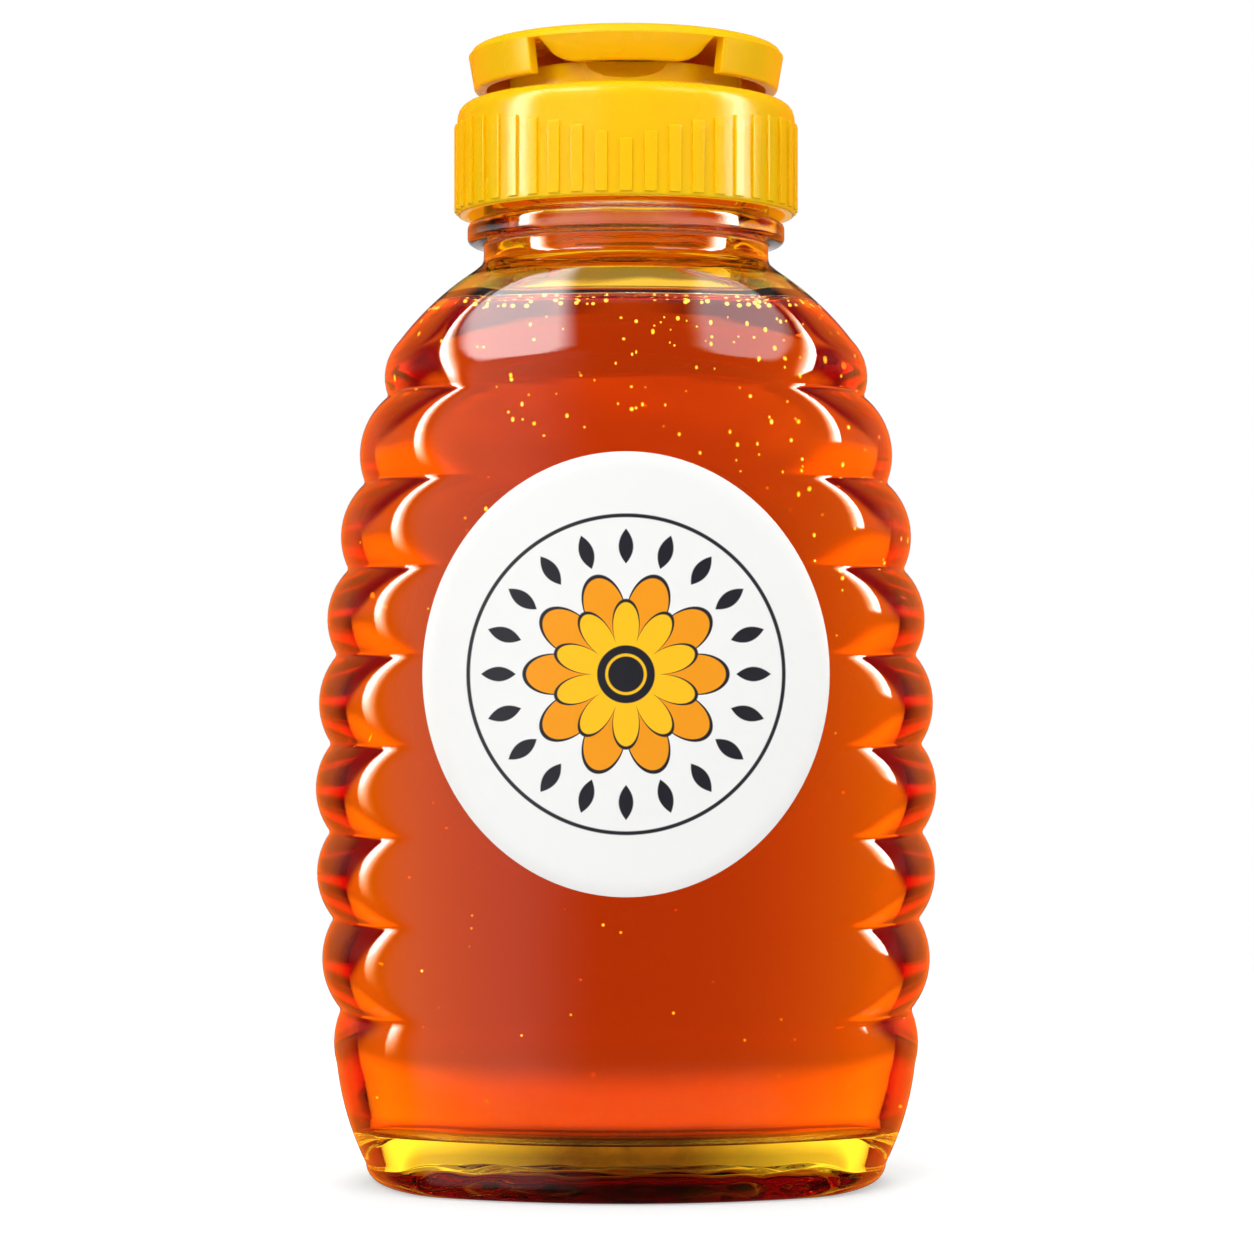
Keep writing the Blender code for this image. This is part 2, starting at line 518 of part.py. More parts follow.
def make_valve_ring(mat):
    """The ring pressed into the cap's pocket, which holds the valve's flange up against the deck."""
    high = POCKET_TOP_Z - GAP - VALVE_FLANGE - GAP
    outer = POCKET_R - GAP
    outline = [(RING_BORE_R, RING_LOW_Z), (outer - 0.3, RING_LOW_Z), (outer, RING_LOW_Z + 0.3), (outer, high),
               (RING_BORE_R, high)]
    finish(lathe(outline, RING_SEGMENTS), "valve_ring", mat)


def build():
    clear_scene()
    pet = material("clear_pet", (0.93, 0.94, 0.92), 0.05, transmission=1.0, ior=1.57)
    honey = material("honey", (0.78, 0.18, 0.01), 0.05, transmission=0.6, ior=1.49)
    yellow = material("yellow_polypropylene", (1.0, 0.56, 0.0), 0.25)
    white = material("label_film", (0.88, 0.88, 0.87), 0.45)
    silicone = material("clear_silicone", (0.85, 0.83, 0.78), 0.35)
    natural = material("natural_polypropylene", (0.86, 0.85, 0.8), 0.4)
    make_bottle(pet)
    make_honey(honey)
    make_label(white)
    make_cap(yellow)
    make_lid(yellow)
    make_film_hinge(yellow)
    make_valve(silicone)
    make_valve_ring(natural)


build()
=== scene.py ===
# %% [markdown]
# # A squeeze bottle of honey
#
# This lesson dresses the plain solids of a honey bottle as the real thing: a blown bottle of clear PET, the
# honey in it, a round sticker and a moulded screw cap with a flip lid. Nearly all of its look is light that
# goes through things, so the shapes have to be true: a clear wall has an inside and an outside, and the honey
# touches it. The solids load first and stay where they are. Each new piece rides on one of their bodies,
# except the hinge strip, which stays where it is made between two of them.

# %% Load the solids
import math
import random
from collections import namedtuple

import bmesh
import bpy
from mathutils import Matrix, Vector, noise


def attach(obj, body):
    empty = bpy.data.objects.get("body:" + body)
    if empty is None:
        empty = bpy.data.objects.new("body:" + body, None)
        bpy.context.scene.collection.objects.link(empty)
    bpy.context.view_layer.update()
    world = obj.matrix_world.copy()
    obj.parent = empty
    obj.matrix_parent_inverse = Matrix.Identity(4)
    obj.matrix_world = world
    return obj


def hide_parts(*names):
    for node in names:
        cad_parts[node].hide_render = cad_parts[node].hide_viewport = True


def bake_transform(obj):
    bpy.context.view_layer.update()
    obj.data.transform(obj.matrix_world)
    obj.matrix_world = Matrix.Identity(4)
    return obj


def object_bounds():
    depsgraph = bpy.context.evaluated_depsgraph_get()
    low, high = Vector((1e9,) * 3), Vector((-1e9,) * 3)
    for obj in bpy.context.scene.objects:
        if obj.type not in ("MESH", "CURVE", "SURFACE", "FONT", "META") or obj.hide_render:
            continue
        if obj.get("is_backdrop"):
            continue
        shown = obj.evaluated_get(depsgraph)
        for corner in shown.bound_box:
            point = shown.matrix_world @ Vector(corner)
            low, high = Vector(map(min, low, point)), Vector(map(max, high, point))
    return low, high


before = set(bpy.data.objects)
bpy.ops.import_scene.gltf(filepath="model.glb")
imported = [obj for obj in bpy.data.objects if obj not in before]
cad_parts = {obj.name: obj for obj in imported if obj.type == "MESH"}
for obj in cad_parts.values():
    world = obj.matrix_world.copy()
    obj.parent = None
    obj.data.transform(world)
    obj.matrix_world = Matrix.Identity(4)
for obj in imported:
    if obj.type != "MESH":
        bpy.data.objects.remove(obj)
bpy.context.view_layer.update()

# %% [markdown]
# A few helpers serve every material. Colours are written as sRGB hex, as a colour picker shows them, and one
# function turns them into the linear values that a shader works in. Another adds a node: an input that is
# given another node, or a socket of one, is linked to it, and any other value is set on it. A last one
# colours a surface between two tones in the patches of a noise, because nothing real has one flat colour.

# %% Colours and nodes
def linear(code):
    """Linear RGBA of an sRGB hex colour."""
    channels = [int(code[i:i + 2], 16) / 255 for i in (0, 2, 4)]
    return tuple(c / 12.92 if c <= 0.04045 else ((c + 0.055) / 1.055) ** 2.4 for c in channels) + (1.0,)


def feed(node, inputs):
    """Links or sets a node's inputs. A node given as an input stands for its first output."""
    for name, value in inputs.items():
        if isinstance(value, bpy.types.Node):
            value = next(socket for socket in value.outputs if socket.enabled)
        if isinstance(value, bpy.types.NodeSocket):
            node.id_data.links.new(value, node.inputs[name])
        else:
            node.inputs[name].default_value = value


def add(tree, kind, inputs=None, **settings):
    """Adds a shader node with its settings and links."""
    node = tree.nodes.new("ShaderNode" + kind)
    for name, value in settings.items():
        setattr(node, name, value)
    feed(node, inputs or {})
    return node


def new_material(name, settings):
    """A material with its Principled shader, whose plain values are set on its own sockets."""
    mat = bpy.data.materials.new(name)
    mat.use_nodes = True
    shader = mat.node_tree.nodes["Principled BSDF"]
    feed(shader, settings)
    return mat, mat.node_tree, shader


def mottled(tree, shader, where, grain_mm, dark, light, detail=2.0):
    """Colours a surface between two tones in the patches of a noise, and returns the noise."""
    patches = add(tree, "TexNoise", {"Vector": where, "Scale": 1000 / grain_mm, "Detail": detail})
    tone = add(tree, "Mix", {"Factor": patches, "A": linear(dark), "B": linear(light)}, data_type="RGBA")
    feed(shader, {"Base Color": tone})
    return patches


# %% [markdown]
# The photograph is a close one, taken level with the label: the camera stands 403 mm from the bottle's axis
# and 65 mm above the table. The lens follows from the scale at that distance, and two small shifts put the
# axis and the horizon on the rows and columns that they have in the picture.

# %% Camera
PHOTO_SIDE = 1254  # pixels
AXIS_COLUMN, HORIZON_ROW = 626, 640
FOCAL_PIXELS = 3331
EYE_DISTANCE, EYE_HEIGHT = 0.403, 0.0651
SENSOR_MM = 36.0

camera_data = bpy.data.cameras.new("camera")
camera_data.sensor_width = SENSOR_MM
camera_data.lens = SENSOR_MM * FOCAL_PIXELS / PHOTO_SIDE
camera_data.shift_x = (PHOTO_SIDE / 2 - AXIS_COLUMN) / PHOTO_SIDE
camera_data.shift_y = (HORIZON_ROW - PHOTO_SIDE / 2) / PHOTO_SIDE
camera_data.clip_start, camera_data.clip_end = 0.01, 20.0
camera = bpy.data.objects.new("camera", camera_data)
camera.location = (0.0, -EYE_DISTANCE, EYE_HEIGHT)
camera.rotation_euler = (math.pi / 2, 0.0, 0.0)
bpy.context.collection.objects.link(camera)
bpy.context.scene.camera = camera
bpy.context.scene.view_settings.view_transform = "Standard"
bpy.context.scene.cycles.max_bounces = 24  # a ray crosses wall, film and honey twice, and bounces in them
bpy.context.scene.cycles.transmission_bounces = 24
print("lens in mm:", round(camera_data.lens, 1))

# %% [markdown]
# A clear thing is drawn by what stands round it, so the studio is drawn with care. The world is one shader
# with four answers. The camera sees plain white, and matt things get a weak, even light. Mirror rays see a
# dark room with soft boxes in it, which are the streaks on the ribs and the shine on the shoulder. Glass
# rays see the bright backdrop that makes honey glow, and below it the table, with the swirls of light that
# the bottle throws on it. Low down at both sides the table is deep red, which is what the ribs look at.

# %% World and its directions
world = bpy.data.worlds.new("studio")
bpy.context.scene.world = world
world.use_nodes = True
tree = world.node_tree
tree.nodes.clear()


def shaped(tree, stretches):
    """The product of smooth rises and falls, each given as (value, start, end, before, after)."""
    whole = None
    for value, start, end, before, after in stretches:
        part = add(tree, "MapRange", {"Value": value, "From Min": start, "From Max": end, "To Min": before,
                                      "To Max": after}, interpolation_type="SMOOTHSTEP")
        whole = add(tree, "Math", {0: whole, 1: part}, operation="MULTIPLY") if whole else part
    return whole


sky = add(tree, "TexCoord").outputs["Generated"]
east, north, up = add(tree, "SeparateXYZ", {"Vector": sky}).outputs
south = add(tree, "Math", {0: north, 1: -1.0}, operation="MULTIPLY")
from_camera = add(tree, "Math", {0: east, 1: south}, operation="ARCTAN2")
bearing = add(tree, "Math", {0: from_camera, 1: math.degrees(1.0)}, operation="MULTIPLY")
from_back = add(tree, "Math", {0: east, 1: north}, operation="ARCTAN2")
turned = add(tree, "Math", {0: from_back}, operation="ABSOLUTE")
sideways = add(tree, "Math", {0: east}, operation="ABSOLUTE")

# %% What mirror rays see
# each soft box: how bright it is, the colour of its edge, its bearing in degrees from the camera to the
# right, and how high it hangs. Both say where it starts, where it is full, where it starts to fade and ends
WHITE, WARM, AMBER = linear("FFFFFF"), linear("FFC050"), linear("FF7A08")
SOFT_BOXES = [
    (22.0, WARM, (-84, -81, -77, -64), (-0.25, 0.12, 0.70, 0.85)),
    (0.50, WHITE, (-64, -50, -30, -6), (-0.60, -0.30, 0.50, 0.70)),
    (9.0, WHITE, (-66, -58, -30, -20), (0.60, 0.68, 0.84, 0.90)),
    (24.0, WARM, (66, 84, 87, 89), (0.03, 0.08, 0.62, 0.80)),
    (4.0, WARM, (24, 34, 58, 66), (0.60, 0.68, 0.84, 0.90)),
    (1.5, AMBER, (112, 130, 160, 172), (-0.70, -0.40, 0.50, 0.80)),
    (1.5, AMBER, (-172, -160, -130, -112), (-0.70, -0.40, 0.50, 0.80)),
]
ROOM, BACKDROP = 0.03, 0.6
BACKDROP_EDGE = (0.96, 0.995)  # how far north a direction points where the backdrop starts and is full

backdrop = shaped(tree, [(north, *BACKDROP_EDGE, 0.0, BACKDROP)])
grey = add(tree, "Math", {0: backdrop, 1: ROOM}, operation="ADD")
mirror = add(tree, "VectorMath", {0: (1.0, 1.0, 1.0), "Scale": grey}, operation="SCALE")
for strength, edge, (left, left_full, right_full, right), (low, low_full, high_full, high) in SOFT_BOXES:
    lit = shaped(tree, [(bearing, left, left_full, 0.0, 1.0), (bearing, right_full, right, 1.0, 0.0),
                        (up, low, low_full, 0.0, 1.0), (up, high_full, high, 1.0, 0.0)])
    colour = edge[:3]
    if edge == WARM:
        colour = add(tree, "Mix", {"Factor": lit, "A": edge, "B": WHITE}, data_type="RGBA")
    bright = add(tree, "Math", {0: lit, 1: strength}, operation="MULTIPLY")
    box = add(tree, "VectorMath", {0: colour, "Scale": bright}, operation="SCALE")
    mirror = add(tree, "VectorMath", {0: mirror, 1: box}, operation="ADD")
print("soft boxes:", len(SOFT_BOXES))

# %% What glass rays see
# up and sideways run from -1 to 1, and turned is the angle from straight behind the bottle, in radians
TABLE, TABLE_FRONT = 1.6, 6.0  # how bright the table is under the bottle and in front of it
TABLE_TINT, DEEP_RED = (0.85, 1.30, 1.0, 1.0), linear("98160A")
SWIRL_SCALES = (9.0, 9.0, 16.0)  # swirls across and up the whole round of directions
RED_SLANT = -2.2  # how much further back the red zone starts with each step down

stretched = add(tree, "VectorMath", {0: sky, 1: SWIRL_SCALES}, operation="MULTIPLY")
swirls = add(tree, "TexNoise", {"Vector": stretched, "Scale": 1.0, "Detail": 2.0, "Distortion": 0.6})
slanted = add(tree, "Math", {0: up, 1: RED_SLANT, 2: turned}, operation="MULTIPLY_ADD")

backdrop = shaped(tree, [
    (up, 0.01, 0.10, 0.93, 1.75),  # brightest above the horizon
    (up, 0.20, 0.38, 1.0, 0.3),  # dim again towards the ceiling
    (sideways, 0.12, 0.65, 0.80, 1.25)])  # and brighter at the sides than in the middle
table = shaped(tree, [(up, -0.42, -0.55, 0.0, 1.0), (swirls, 0.46, 0.60, 0.0, 2.0)])
front_table = shaped(tree, [
    (turned, 2.30, 2.60, 0.0, 1.0), (up, -0.20, -0.40, 0.0, 1.0), (swirls, 0.40, 0.60, 0.5, 1.3)])
red_zone = shaped(tree, [
    (slanted, 0.88, 1.16, 0.0, 1.0), (turned, 2.10, 2.24, 1.0, 0.0),
    (up, -0.62, -0.52, 0.0, 1.0), (up, -0.05, 0.06, 1.0, 0.0)])
glass = add(tree, "Math", {0: table, 1: TABLE, 2: backdrop}, operation="MULTIPLY_ADD")
glass = add(tree, "Math", {0: front_table, 1: TABLE_FRONT, 2: glass}, operation="MULTIPLY_ADD")
tint = add(tree, "Mix", {"Factor": table, "A": WHITE, "B": TABLE_TINT}, data_type="RGBA", clamp_factor=True)
tint = add(tree, "Mix", {"Factor": red_zone, "A": tint, "B": DEEP_RED}, data_type="RGBA")

# %% The four answers together
MATT_LIGHT = 0.42
ray = add(tree, "LightPath").outputs
answer = add(tree, "Background", {"Color": WHITE, "Strength": MATT_LIGHT})
for kind, colour, strength in (("Is Glossy Ray", mirror, 1.0), ("Is Transmission Ray", tint, glass),
                               ("Is Camera Ray", WHITE, 1.0)):
    seen = add(tree, "Background", {"Color": colour, "Strength": strength})
    answer = add(tree, "MixShader", {0: ray[kind], 1: answer, 2: seen})
add(tree, "OutputWorld", {"Surface": answer})
print("world nodes:", len(tree.nodes))

# %% [markdown]
# Four lamps light what is matt, the cap and the sticker: a large one from the front left, a weaker one from
# the right, one above, and one behind, which glows through the thin skirt of the cap. What shines on them
# comes from the soft boxes in the world, so the lamps are hidden from mirror rays.

# %% Lamps
BOTTLE_MIDDLE = (0.0, 0.0, 0.075)
LAMPS = [  # place and width in metres, power in watts
    ("front_left_lamp", (-0.38, -0.62, 0.52), 0.5, 3.3),
    ("right_lamp", (0.55, -0.50, 0.35), 0.5, 1.5),
    ("top_lamp", (0.0, -0.10, 0.90), 0.6, 3.4),
    ("back_lamp", (0.15, 0.80, 0.45), 0.6, 5.0),
]
for name, place, width, power in LAMPS:
    data = bpy.data.lights.new(name, "AREA")
    data.shape = "SQUARE"
    data.size = width
    data.energy = power
    lamp = bpy.data.objects.new(name, data)
    lamp.location = place
    lamp.rotation_euler = (Vector(BOTTLE_MIDDLE) - Vector(place)).to_track_quat("-Z", "Y").to_euler()
    lamp.visible_camera = lamp.visible_glossy = lamp.visible_transmission = False
    bpy.context.collection.objects.link(lamp)
print("lamps:", len(LAMPS))

# %% [markdown]
# The floor is a wide white sheet. Close to the bottle it is a matt surface that takes the shadow, and further
# out it turns into the white of the backdrop, so that no horizon shows. Glass and mirror rays look past it,
# because what they see of the table is already in the world.

# %% Floor
FLOOR_HALF = 3.0  # metres
SHADOW_REACH = (0.09, 0.30)  # metres from the axis between which the floor turns into the backdrop
FLOOR_GLOW = 0.42  # of white, which thins the shadow
PAPER_MM = 1.1

floor_mat, tree, shader = new_material("white_paper_sweep", {"Roughness": 0.9, "Specular IOR Level": 0.0})
where = add(tree, "TexCoord").outputs["Object"]
mottled(tree, shader, where, PAPER_MM, "D2D2D0", "D8D8D6")
seen = add(tree, "LightPath").outputs["Is Camera Ray"]
lift = add(tree, "Math", {0: seen, 1: FLOOR_GLOW}, operation="MULTIPLY")
glow = add(tree, "Emission", {"Strength": lift})
near = add(tree, "AddShader", {0: shader, 1: glow})
white = add(tree, "Emission", {"Strength": 1.0})
span = add(tree, "VectorMath", {0: where}, operation="LENGTH")
away = shaped(tree, [(span, *SHADOW_REACH, 0.0, 1.0)])
far = add(tree, "Math", {0: away, 1: seen}, operation="MULTIPLY")
mixed = add(tree, "MixShader", {0: far, 1: near, 2: white})
feed(tree.nodes["Material Output"], {"Surface": mixed})

bm = bmesh.new()
bmesh.ops.create_grid(bm, x_segments=1, y_segments=1, size=FLOOR_HALF)
mesh = bpy.data.meshes.new("floor")
bm.to_mesh(mesh)
bm.free()
mesh.materials.append(floor_mat)
floor = bpy.data.objects.new("floor", mesh)
floor.visible_glossy = floor.visible_transmission = False
bpy.context.collection.objects.link(floor)
floor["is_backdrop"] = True
print("floor:", 2 * FLOOR_HALF, "m square")

# %% [markdown]
# The pieces are modelled in millimetres, because that is how a maker writes them, and one function at the
# end of each scales the mesh to metres, closes its seams and shades it. Round pieces come off a lathe: an
# outline of radius and height is spun a full turn, and the seam is merged.

# %% Lathe and finish
MM = 0.001
MERGE = 0.0005  # mm


def finish(bm, name, mats, body, sharp=35.0):
    """Closes a mesh made in millimetres, scales it to metres and shades it. With a body, it rides there."""
    bmesh.ops.remove_doubles(bm, verts=bm.verts, dist=MERGE)
    bmesh.ops.dissolve_degenerate(bm, edges=bm.edges, dist=MERGE)
    bmesh.ops.recalc_face_normals(bm, faces=bm.faces)
    bmesh.ops.scale(bm, verts=bm.verts, vec=(MM, MM, MM))
    mesh = bpy.data.meshes.new(name)
    bm.to_mesh(mesh)
    bm.free()
    for mat in mats:
        mesh.materials.append(mat)
    mesh.shade_smooth()
    mesh.set_sharp_from_angle(angle=math.radians(sharp))
    obj = bpy.data.objects.new(name, mesh)
    bpy.context.collection.objects.link(obj)
    if body:
        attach(obj, body)
        print(name, "has", sum(len(face.vertices) - 2 for face in mesh.polygons), "triangles")
    return obj


def lathe(outline, segments, closed=True):
    """Spins (radius, height) points round the Z axis."""
    bm = bmesh.new()
    verts = [bm.verts.new((r, 0.0, z)) for r, z in outline]
    pairs = list(zip(verts, verts[1:])) + [(verts[-1], verts[0])] * closed
    edges = [bm.edges.new(pair) for pair in pairs]
    bmesh.ops.spin(bm, geom=verts + edges, cent=(0, 0, 0), axis=(0, 0, 1), angle=math.tau, steps=segments,
                   use_merge=True, use_duplicate=False)
    return bm


def arc(start, end, sagitta, count):
    """Points on a round arc from start towards end, end left out. A positive sagitta bows it to the right."""
    (r0, z0), (r1, z1) = start, end
    chord = math.hypot(r1 - r0, z1 - z0)
    along = ((r1 - r0) / chord, (z1 - z0) / chord)
    radius = (chord * chord / 4 + sagitta * sagitta) / (2 * abs(sagitta))
    half = math.asin(min(1.0, chord / 2 / radius))
    points = []
    for i in range(count):
        turn = -half + 2 * half * i / count
        u = chord / 2 + radius * math.sin(turn)
        v = math.copysign(radius * (math.cos(turn) - math.cos(half)), sagitta)
        points.append((r0 + along[0] * u + along[1] * v, z0 + along[1] * u - along[0] * v))
    return points


def eased_corner(before, corner, after, reach, steps):
    """A curve that leaves the line a reach before a corner and joins the next one a reach after it."""
    before, corner, after = Vector(before), Vector(corner), Vector(after)
    start = corner + (before - corner).normalized() * min(reach, (before - corner).length * 0.5)
    end = corner + (after - corner).normalized() * min(reach, (after - corner).length * 0.5)
    curve = []
    for i in range(steps + 1):
        t = i / steps
        curve.append(tuple(start * (1 - t) ** 2 + corner * 2 * t * (1 - t) + end * t * t))
    return curve


def moulded(corners, steps=5, closed=True):
    """An outline from (radius, height, reach) corners, each rounded over its reach. 0 keeps it sharp."""
    outline = []
    count = len(corners)
    for i, (r, z, reach) in enumerate(corners):
        inner = closed or 0 < i < count - 1
        if reach and inner:
            outline += eased_corner(corners[i - 1][:2], (r, z), corners[(i + 1) % count][:2], reach, steps)
        else:
            outline.append((r, z))
    return outline


# %% [markdown]
# The bottle is not round: its ribbed ends are ovals, cut back at the front and the back by two nearly flat
# panels. A lathe can't turn that, so a flat grid is rolled up instead. Each row of it is a level section of
# the bottle, and each column a direction round the axis. A section is an oval that goes no further out than
# the panel, and where the two meet, a soft minimum leaves the rounded edge that a blow mould leaves.

# %% Sections of the bottle
GROOVES = [(28.7, 94.4), (31.5, 84.0), (33.5, 73.6), (34.9, 63.3), (35.6, 52.6), (35.7, 42.0), (35.3, 31.6),
           (34.4, 20.7)]  # half width and height of each groove between two ribs, in mm, top to bottom
HEEL, BELLY = (31.4, 2.2), (34.9, 14.0)
SHOULDER_LOW, SHOULDER_HIGH = (27.4, 101.0), (18.6, 109.3)
HEEL_BOW, BELLY_BOW, SHOULDER_BOW, NECK_FOOT_BOW = 0.55, 0.6, 1.0, 0.5
RIB_SWELL, RIB_SWELL_DEEP = 1.8, 0.6
GROOVE_REACH = 0.75  # how far the rounded bottom of a groove reaches up and down, in mm
OVAL_DEPTH = 26.1  # half depth of the ribbed oval
OVAL_FOOT, OVAL_FOOT_Z, OVAL_FOOT_REACH = 1.9, 20.7, 18.5  # what it loses at the foot, from where, over what
ROUND_LOW_Z, ROUND_HIGH_Z = 95.0, 110.0  # between these the oval turns into the round neck
PANEL_DEPTH, PANEL_RADIUS, PANEL_TOP_Z = 23.7, 55.0, 98.0
PANEL_CROWN, PANEL_CROWN_Z, PANEL_CROWN_REACH = 0.5, 57.0, 41.0  # the panel's swell, its middle and its reach
PANEL_LEAN = 0.44  # mm that the panel leans in for each mm above its top
PANEL_FOOT, PANEL_FOOT_Z, PANEL_FOOT_REACH = 2.3, 18.0, 16.0
PANEL_BLEND = 1.2  # width of the soft edge between panel and oval
PANEL_ARCH, PANEL_ARCH_X, PANEL_ARCH_LOW_Z, PANEL_ARCH_REACH = 2.4, 20.0, 60.0, 30.0  # how its top line bows
BODY_SEGMENTS = 196
RIB_STEPS = 13

Ring = namedtuple("Ring", "half_width depth level inset height share")


def ease(t):
    t = min(1.0, max(0.0, t))
    return t * t * (3 - 2 * t)


def oval_depth(z, half_width):
    foot = OVAL_FOOT * ease((OVAL_FOOT_Z - z) / OVAL_FOOT_REACH)
    neck = ease((z - ROUND_LOW_Z) / (ROUND_HIGH_Z - ROUND_LOW_Z))
    return (OVAL_DEPTH - foot) * (1 - neck) + half_width * neck


def panel_depth(z):
    crown = PANEL_CROWN * ((min(z, PANEL_TOP_Z) - PANEL_CROWN_Z) / PANEL_CROWN_REACH) ** 2
    shoulder = PANEL_LEAN * max(0.0, z - PANEL_TOP_Z)
    foot = PANEL_FOOT * ease((PANEL_FOOT_Z - z) / PANEL_FOOT_REACH)
    return PANEL_DEPTH - crown - shoulder - foot


def arched(x, z):
    return z + PANEL_ARCH * (x / PANEL_ARCH_X) ** 2 * ease((z - PANEL_ARCH_LOW_Z) / PANEL_ARCH_REACH)


def section_point(ring, turn):
    x = ring.half_width * math.cos(turn)
    y = ring.depth * math.sin(turn)
    if ring.inset is not None:
        panel = panel_depth(arched(x, ring.level)) - ring.inset - x * x / (2 * PANEL_RADIUS)
        near = max(0.0, PANEL_BLEND - abs(abs(y) - panel)) / PANEL_BLEND
        y = math.copysign(min(abs(y), panel) - near * near * PANEL_BLEND / 4, y)
    return Vector((x * ring.share, y * ring.share, ring.height))


def rolled_body(rings):
    """A grid with a row for each ring, rolled up. Each vertex keeps its ring's number."""
    bm = bmesh.new()
    rows = len(rings) - 1
    bmesh.ops.create_grid(bm, x_segments=BODY_SEGMENTS, y_segments=rows, size=0.5)
    layer = bm.verts.layers.int.new("ring")
    for vert in bm.verts:
        row = round((vert.co.y + 0.5) * rows)
        vert[layer] = row
        vert.co = section_point(rings[row], math.tau * (vert.co.x + 0.5))
    return bm


# %% [markdown]
# The outline of one end runs from the heel over seven ribs to the neck. Each rib is a round arc from groove
# to groove, and the bottom of each groove is rounded, which is where the thin bright lines come from.

# %% Wall outlines
def wall_outline():
    """(half width, height, how far out of its grooves' line a rib swells) from the heel to the neck."""
    points = [(r, z, 0.0) for r, z in arc(HEEL, BELLY, HEEL_BOW, 10)]
    points += [(r, z, 0.0) for r, z in arc(BELLY, GROOVES[-1], BELLY_BOW, 5)]
    for (r0, z0), (r1, z1) in zip(GROOVES[::-1], GROOVES[-2::-1]):
        for r, z in arc((r0, z0), (r1, z1), RIB_SWELL, RIB_STEPS):
            points.append((r, z, r - r0 - (r1 - r0) * (z - z0) / (z1 - z0)))
    points += [(r, z, 0.0) for r, z in arc(GROOVES[0], SHOULDER_LOW, SHOULDER_BOW, 8)]
    points += [(r, z, 0.0) for r, z in arc(SHOULDER_LOW, SHOULDER_HIGH, NECK_FOOT_BOW, 10)]
    points.append((*SHOULDER_HIGH, 0.0))
    grooves = {(r, z) for r, z in GROOVES}
    outline = []
    for i, point in enumerate(points):
        if point[:2] in grooves:
            outline += eased_corner(points[i - 1], point, points[i + 1], GROOVE_REACH, 4)
        else:
            outline.append(point)
    return outline


def inset_outline(outline, wall):
    """The outline moved in by a wall's thickness, square to it."""
    moved = []
    for i, (r, z, swell) in enumerate(outline):
        r0, z0 = outline[max(0, i - 1)][:2]
        r1, z1 = outline[min(len(outline) - 1, i + 1)][:2]
        length = math.hypot(r1 - r0, z1 - z0)
        moved.append((r - wall * (z1 - z0) / length, z + wall * (r1 - r0) / length, swell))
    return moved


def wall_rings(outline, inset):
    rings = []
    for r, z, swell in outline:
        depth = oval_depth(z, r + inset) + RIB_SWELL_DEEP * swell - inset
        rings.append(Ring(r, depth, z, inset, z, 1.0))
    return rings


def rounded_corner(ring, reach, height, count):
    """Rings from a floor out and up to a wall's ring."""
    rings = []
    for i in range(count):
        turn = math.pi / 2 * i / count
        amount = reach * (1 - math.sin(turn))
        rings.append(ring._replace(half_width=ring.half_width - amount, depth=ring.depth - amount,
                                   inset=ring.inset + amount, height=ring.height - height * math.cos(turn)))
    return rings


def shrunk(ring, sizes):
    return [ring._replace(share=share, height=height) for share, height in sizes]


def round_rings(outline):
    return [Ring(r, r, z, None, z, 1.0) for r, z in outline]


# %% [markdown]
# PET is the clear polyester of drink bottles: an index between 1.54 and 1.58, a hard gloss, and a wall that
# wanders a little in thickness because it was blown like a balloon, which a faint, wide bump stands for.
# Where honey wets the wall inside, the two have nearly the same index and the border hardly reflects. In the
# mesh the honey reaches a tenth of a millimetre into the wall, so that there is no film of air between them,
# and on the two surfaces that meet there, a dark specular tint takes away the reflection that the real ones
# lack. The thick clear heel gathers the amber light that comes down through the honey. A renderer finds
# little of that light, so it is painted into the heel's colour: painted light, patchy in the middle and
# bright at the ends.

# %% Clear PET
PET_INDEX = 1.545
WAVES_MM = 9.0  # width of the wall's waves
WAVE_HEIGHT = 0.0004
# where the heel's painted light lies
HEEL_AMBER_Z, HEEL_CLEAR_Z = 0.0070, 0.0095  # metres: amber up to the one, clear from the other
HEEL_MIDDLE, HEEL_ENDS = 0.006, 0.020  # metres to each side: patchy up to the one, bright from the other
PATCHES_MM = 3.0


